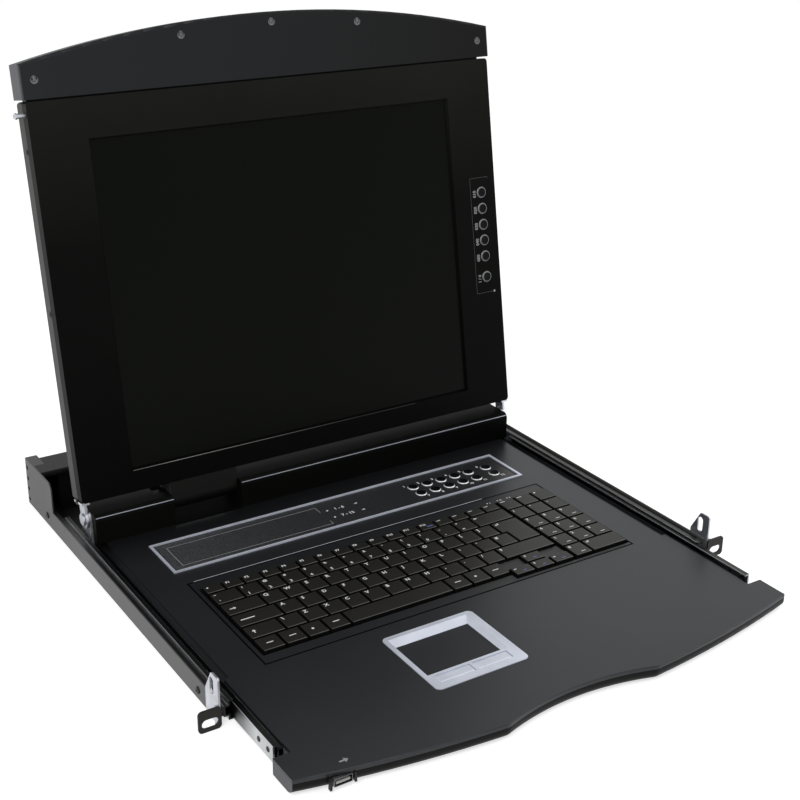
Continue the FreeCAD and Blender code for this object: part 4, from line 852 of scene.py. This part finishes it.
# ---- Print and lamp beside the screen ----
STRIP_LEFT = 12.4 * MM
STRIP_RIGHT = 7.5 * MM
STRIP_BELOW = 15.0 * MM
STRIP_ABOVE = 14.0 * MM
STRIP_GAP = 2.0 * MM
STRIP_WORDS = ("010", "020", "030", "040", "050", "1 / 0")
bezel_front = reach("bezel", LCD_OUT)[1]
bezel_plane = LCD_OUT * bezel_front
button_x = osd_centres[0].x
top_button = osd_centres[0].dot(LCD_UP)
last_button = osd_centres[-1].dot(LCD_UP)
strip_print = bmesh.new()
strip_low, strip_high = last_button - STRIP_BELOW, top_button + STRIP_ABOVE
frame_line(strip_print, button_x - STRIP_LEFT, button_x + STRIP_RIGHT, strip_low, strip_high,
           (strip_low + STRIP_GAP, strip_high - STRIP_GAP), bezel_plane, ACROSS, LCD_UP, 0.35 * MM, 1)
for centre, words in zip(osd_centres, STRIP_WORDS):
    size, half_length = (4.4 * MM, 4.2 * MM) if centre != osd_centres[-1] else (4.2 * MM, 5.0 * MM)
    spot = bezel_plane + LCD_UP * (centre.dot(LCD_UP) - half_length) + ACROSS * (button_x - 6.6 * MM)
    letters(strip_print, words, size, spot, LCD_UP, -ACROSS, material=2)
add_piece("osd_print", strip_print, "lcd", [INK, FAINT_INK, DULL_INK], "lcd_plastic")
lamp = bmesh.new()
turned(lamp, [(1.0 * MM, -0.1 * MM), (1.0 * MM, 0.25 * MM), (0.6 * MM, 0.5 * MM)],
       bezel_plane + LCD_UP * (last_button - 14.7 * MM) + ACROSS * (button_x + 7.6 * MM), LCD_OUT, 20)
add_piece("screen_lamp", lamp, "lcd", [LENS], "lcd_plastic")

# ---- Screws ----
CAP_HEAD_RADIUS = 3.1 * MM
CAP_HEAD_HEIGHT = 1.2 * MM
CHASSIS_SCREWS_YZ = ((203.3 * MM, 9.0 * MM), (-101.7 * MM, 7.6 * MM))
LCD_SCREW_HEIGHTS = (301.5 * MM, 173.1 * MM, 15.3 * MM)
LCD_SCREW_DEPTH = 13.5 * MM
cap_heads = bmesh.new()
for low, high in loose_boxes(welded("cap_screws")):
    middle = (low + high) / 2
    outer = max(corner.co.dot(LCD_OUT) for corner in nodes["cap_screws"].data.vertices
                if low.x - MM < corner.co.x < high.x + MM and low.z - MM < corner.co.z < high.z + MM)
    centre = middle + LCD_OUT * (outer - middle.dot(LCD_OUT) - CAP_HEAD_HEIGHT)
    screw_head(cap_heads, centre, LCD_OUT, CAP_HEAD_RADIUS, CAP_HEAD_HEIGHT)
add_piece("cap_screw_heads", cap_heads, "lcd", [SCREW], "steel")

side_heads = bmesh.new()
for outward, name in ((-1, "side_plate_left"), (1, "side_plate_right")):
    low, high = box(name)
    face_x = low.x if outward < 0 else high.x
    for y, z in CHASSIS_SCREWS_YZ:
        screw_head(side_heads, Vector((face_x, y, z)), ACROSS * outward, 2.9 * MM, 0.9 * MM)
add_piece("chassis_screws", side_heads, "chassis", [BLACK_SCREW], "steel")

lcd_heads = bmesh.new()
shell_low, shell_high = box("rear_shell")
screw_plane = bezel_front - HINGE.dot(LCD_OUT) - LCD_SCREW_DEPTH
for outward, face_x in ((-1, shell_low.x), (1, shell_high.x)):
    for height in LCD_SCREW_HEIGHTS:
        spot = HINGE + LCD_UP * height + LCD_OUT * screw_plane
        screw_head(lcd_heads, Vector((face_x, spot.y, spot.z)), ACROSS * outward, 2.6 * MM, 0.5 * MM)
add_piece("lcd_screws", lcd_heads, "lcd", [BLACK_SCREW], "steel")

# ---- USB tongue with four contacts, and the legs of its bracket ----
TONGUE_HALF_WIDTH = 5.2 * MM
TONGUE_THICKNESS = 1.7 * MM
CONTACT_PITCH = 2.2 * MM
CONTACT_HALF_WIDTH = 0.45 * MM
LEG_HALF_SPREAD = 8.6 * MM
LEG_LEAN = 0.6 * MM
usb_low, usb_high = box("usb_socket")
usb_centre = (usb_low.x + usb_high.x) / 2
usb_middle = (usb_low.z + usb_high.z) / 2
tongue = bmesh.new()
bar(tongue, usb_centre - TONGUE_HALF_WIDTH, usb_centre + TONGUE_HALF_WIDTH, usb_low.y + 0.5 * MM,
    usb_high.y - 0.6 * MM, UPWARD * (usb_middle - 1.3 * MM), ACROSS, REARWARD, TONGUE_THICKNESS)
for index in range(4):
    x = usb_centre + (index - 1.5) * CONTACT_PITCH
    bar(tongue, x - CONTACT_HALF_WIDTH, x + CONTACT_HALF_WIDTH, usb_low.y + 2.0 * MM, usb_low.y + 8.0 * MM,
        UPWARD * (usb_middle + 0.4 * MM), ACROSS, REARWARD, 0.1 * MM, 1)
add_piece("usb_tongue", tongue, "drawer", [PALE_PLASTIC, GOLD], "connector")
legs = bmesh.new()
for side in (-1, 1):
    x = usb_centre + side * LEG_HALF_SPREAD
    lean = side * LEG_LEAN
    plate(legs, ((x - 0.8 * MM, usb_high.z + 0.2 * MM), (x + lean - 0.7 * MM, usb_low.z - 1.4 * MM),
                 (x + lean + 0.7 * MM, usb_low.z - 1.4 * MM), (x + 0.8 * MM, usb_high.z + 0.2 * MM)),
          REARWARD * (usb_low.y + 2.5 * MM), ACROSS, UPWARD, 3.0 * MM)
add_piece("usb_bracket", legs, "drawer", [BLACK_PLASTIC], "connector")

# ---- Painted highlights: bright lines on the hinge covers' folded edges and under the screen ----
# Painted highlight: thin bright strips along the front top edges of the hinge covers.
edge_highlights = bmesh.new()
for cover, end_gap in (("hinge_cover_left", 0.5 * MM), ("hinge_cover_right", 1.0 * MM)):
    cover_low, cover_high = box(cover)
    front_top = max(corner.co.z for corner in nodes[cover].data.vertices
                    if corner.co.y < cover_low.y + 1.5 * MM)
    bar(edge_highlights, cover_low.x + end_gap, cover_high.x - end_gap, cover_low.y + 0.2 * MM,
        cover_low.y + 0.75 * MM, UPWARD * (front_top - 0.3 * MM), ACROSS, REARWARD, 0.42 * MM)
add_piece("cover_edge_highlights", edge_highlights, "drawer", [SILVER], "tray_paint")
screen_right = box("screen_panel")[1].x
opening = [corner.co for corner in nodes["bezel"].data.vertices
           if abs(corner.co.x) < screen_right + 1.0 * MM
           and corner.co.dot(LCD_OUT) > bezel_front - 0.01 * MM]
half_height = (last_button + top_button) / 2
edge_height = max(point.dot(LCD_UP) for point in opening if point.dot(LCD_UP) < half_height)
edge_left = min(point.x for point in opening if abs(point.dot(LCD_UP) - edge_height) < 0.5 * MM)
# Painted highlight: a bright line along the lower edge of the screen opening.
screen_highlight = bmesh.new()
bar(screen_highlight, edge_left + 1.0 * MM, -edge_left - 60 * MM, edge_height - 0.55 * MM, edge_height - 0.10 * MM,
    bezel_plane, ACROSS, LCD_UP, INK_DEPTH)
add_piece("screen_lower_highlight", screen_highlight, "lcd", [PAINTED_HIGHLIGHT_LINE], "lcd_plastic")

# ---- Deck: painted shadow as a dark strip between the hinge covers, and an arrow over the USB socket ----
deck_high = box("deck")[1]
bay_left, bay_right = box("hinge_cover_left")[1].x, box("hinge_cover_right")[0].x
bay_front = box("hinge_cover_left")[0].y - 1.5 * MM
# Painted shadow: a thin dark sheet on the deck between the hinge covers.
bay = bmesh.new()
bar(bay, bay_left + 0.1 * MM, bay_right - 0.1 * MM, bay_front, deck_high.y - 0.5 * MM,
    UPWARD * (deck_high.z - SUNK), ACROSS, REARWARD, 0.22 * MM)
add_piece("hinge_bay_shadow", bay, "drawer", [GAP], "tray_paint")
usb_arrow = bmesh.new()
sign(usb_arrow, "right", 9.0 * MM, Vector((usb_centre + 3.0 * MM, usb_low.y + 8.0 * MM, deck_high.z)),
     ACROSS, REARWARD)
add_piece("usb_arrow", usb_arrow, "drawer", [DULL_INK], "tray_paint")

# ---- Rear sockets: coloured inserts with contact holes ----
INSERT_DEPTH = 0.4 * MM
CONTACT_RADIUS = 0.5 * MM
CONTACT_ROWS = 3
CONTACT_COLUMNS = 5
inserts = bmesh.new()
contacts = bmesh.new()
for low, high in loose_boxes(welded("port_connectors")):
    width, height = high.x - low.x, high.z - low.z
    inset_x, inset_z = 0.16 * width, 0.20 * height
    plate(inserts, ((low.x + inset_x, low.z + inset_z), (high.x - inset_x, low.z + inset_z),
                    (high.x - inset_x, high.z - inset_z), (low.x + inset_x, high.z - inset_z)),
          REARWARD * (high.y + INSERT_DEPTH), ACROSS, UPWARD, INSERT_DEPTH + 0.1 * MM)
    for row in range(CONTACT_ROWS):
        for column in range(CONTACT_COLUMNS):
            spot = Vector(((low.x + high.x) / 2 + (column - 2 + 0.25 * (row - 1)) * 0.125 * width,
                           high.y + INSERT_DEPTH - 0.05 * MM,
                           (low.z + high.z) / 2 + (row - 1) * 0.17 * height))
            turned(contacts, [(CONTACT_RADIUS, 0.0), (CONTACT_RADIUS, 0.15 * MM)], spot, REARWARD, 8)
add_piece("socket_inserts", inserts, "chassis", [BLUE_PLASTIC], "connector")
add_piece("socket_contacts", contacts, "chassis", [BLACK_PLASTIC], "connector")

# ---- Camera, floor and light ----
CAMERA_PLACE = (-0.55768, -0.8740, 0.57803)
CAMERA_LENS = 63.49
CAMERA_SHIFT = (0.0038, -0.0123)
CAMERA_YAW = math.radians(32.70)
CAMERA_PITCH = math.radians(-22.40)
CAMERA_ROLL = math.radians(0.685)
camera_data = bpy.data.cameras.new("camera")
camera = bpy.data.objects.new("camera", camera_data)
bpy.context.scene.collection.objects.link(camera)
camera_data.sensor_width = 36.0
camera_data.lens = CAMERA_LENS
camera_data.shift_x, camera_data.shift_y = CAMERA_SHIFT
camera_data.clip_end = 20.0
look = Vector((math.sin(CAMERA_YAW) * math.cos(CAMERA_PITCH), math.cos(CAMERA_YAW) * math.cos(CAMERA_PITCH),
               math.sin(CAMERA_PITCH)))
level = Vector((math.cos(CAMERA_YAW), -math.sin(CAMERA_YAW), 0))
rise = level.cross(look)
right = level * math.cos(CAMERA_ROLL) + rise * math.sin(CAMERA_ROLL)
upward = rise * math.cos(CAMERA_ROLL) - level * math.sin(CAMERA_ROLL)
camera.matrix_world = Matrix.Translation(CAMERA_PLACE) @ Matrix(
    (right, upward, -look)).transposed().to_4x4()
bpy.context.scene.camera = camera


def seen_directly(tree):
    """1 for camera, glossy and transmission rays, and 0 for the rays that light the object."""
    path = tree.nodes.new("ShaderNodeLightPath")
    total = path.outputs["Is Camera Ray"]
    for name in ("Is Glossy Ray", "Is Transmission Ray"):
        larger = tree.nodes.new("ShaderNodeMath")
        larger.operation = "MAXIMUM"
        tree.links.new(total, larger.inputs[0])
        tree.links.new(path.outputs[name], larger.inputs[1])
        total = larger.outputs["Value"]
    return total


FLOOR_WHITE = 0.80
FLOOR_GLOW = 0.62
WORLD_LIGHT = 0.42


def floor_material():
    """Pale floor that reads as white to the camera away from the part's shadow."""
    material, tree, shader = new_material("floor")
    tree.links.new(ramp(tree, noise(tree, 6.0), (FLOOR_WHITE,) * 3, (FLOOR_WHITE + 0.02,) * 3),
                   shader.inputs["Base Color"])
    shader.inputs["Roughness"].default_value = 0.9
    shader.inputs["Specular IOR Level"].default_value = 0.1
    shader.inputs["Emission Color"].default_value = (1, 1, 1, 1)
    tree.links.new(spread(tree, seen_directly(tree), 0.0, FLOOR_GLOW), shader.inputs["Emission Strength"])
    return material


bpy.ops.mesh.primitive_plane_add(size=30.0, location=(0, 0, -0.0002))
floor = bpy.context.object
floor.name = "floor"
floor.data.materials.append(floor_material())

world = bpy.data.worlds.new("world")
bpy.context.scene.world = world
world.use_nodes = True
world_tree = world.node_tree
background = world_tree.nodes["Background"]
background.inputs["Color"].default_value = (1, 1, 1, 1)
world_tree.links.new(spread(world_tree, seen_directly(world_tree), WORLD_LIGHT, 1.0),
                     background.inputs["Strength"])


def soft_light(name, place, aim, size, power):
    """A rectangular area light that looks at a point."""
    data = bpy.data.lights.new(name, "AREA")
    data.shape = "RECTANGLE"
    data.size, data.size_y = size
    data.energy = power
    lamp = bpy.data.objects.new(name, data)
    bpy.context.scene.collection.objects.link(lamp)
    lamp.location = place
    lamp.rotation_euler = (Vector(aim) - Vector(place)).to_track_quat("-Z", "Y").to_euler()


soft_light("key_light", (-1.6, -1.2, 2.2), (0, 0, 0.1), (1.6, 1.6), 26.0)
soft_light("fill_light", (2.2, -0.8, 1.6), (0, 0, 0.1), (1.4, 1.4), 14.0)

bpy.context.scene.view_settings.view_transform = "Standard"
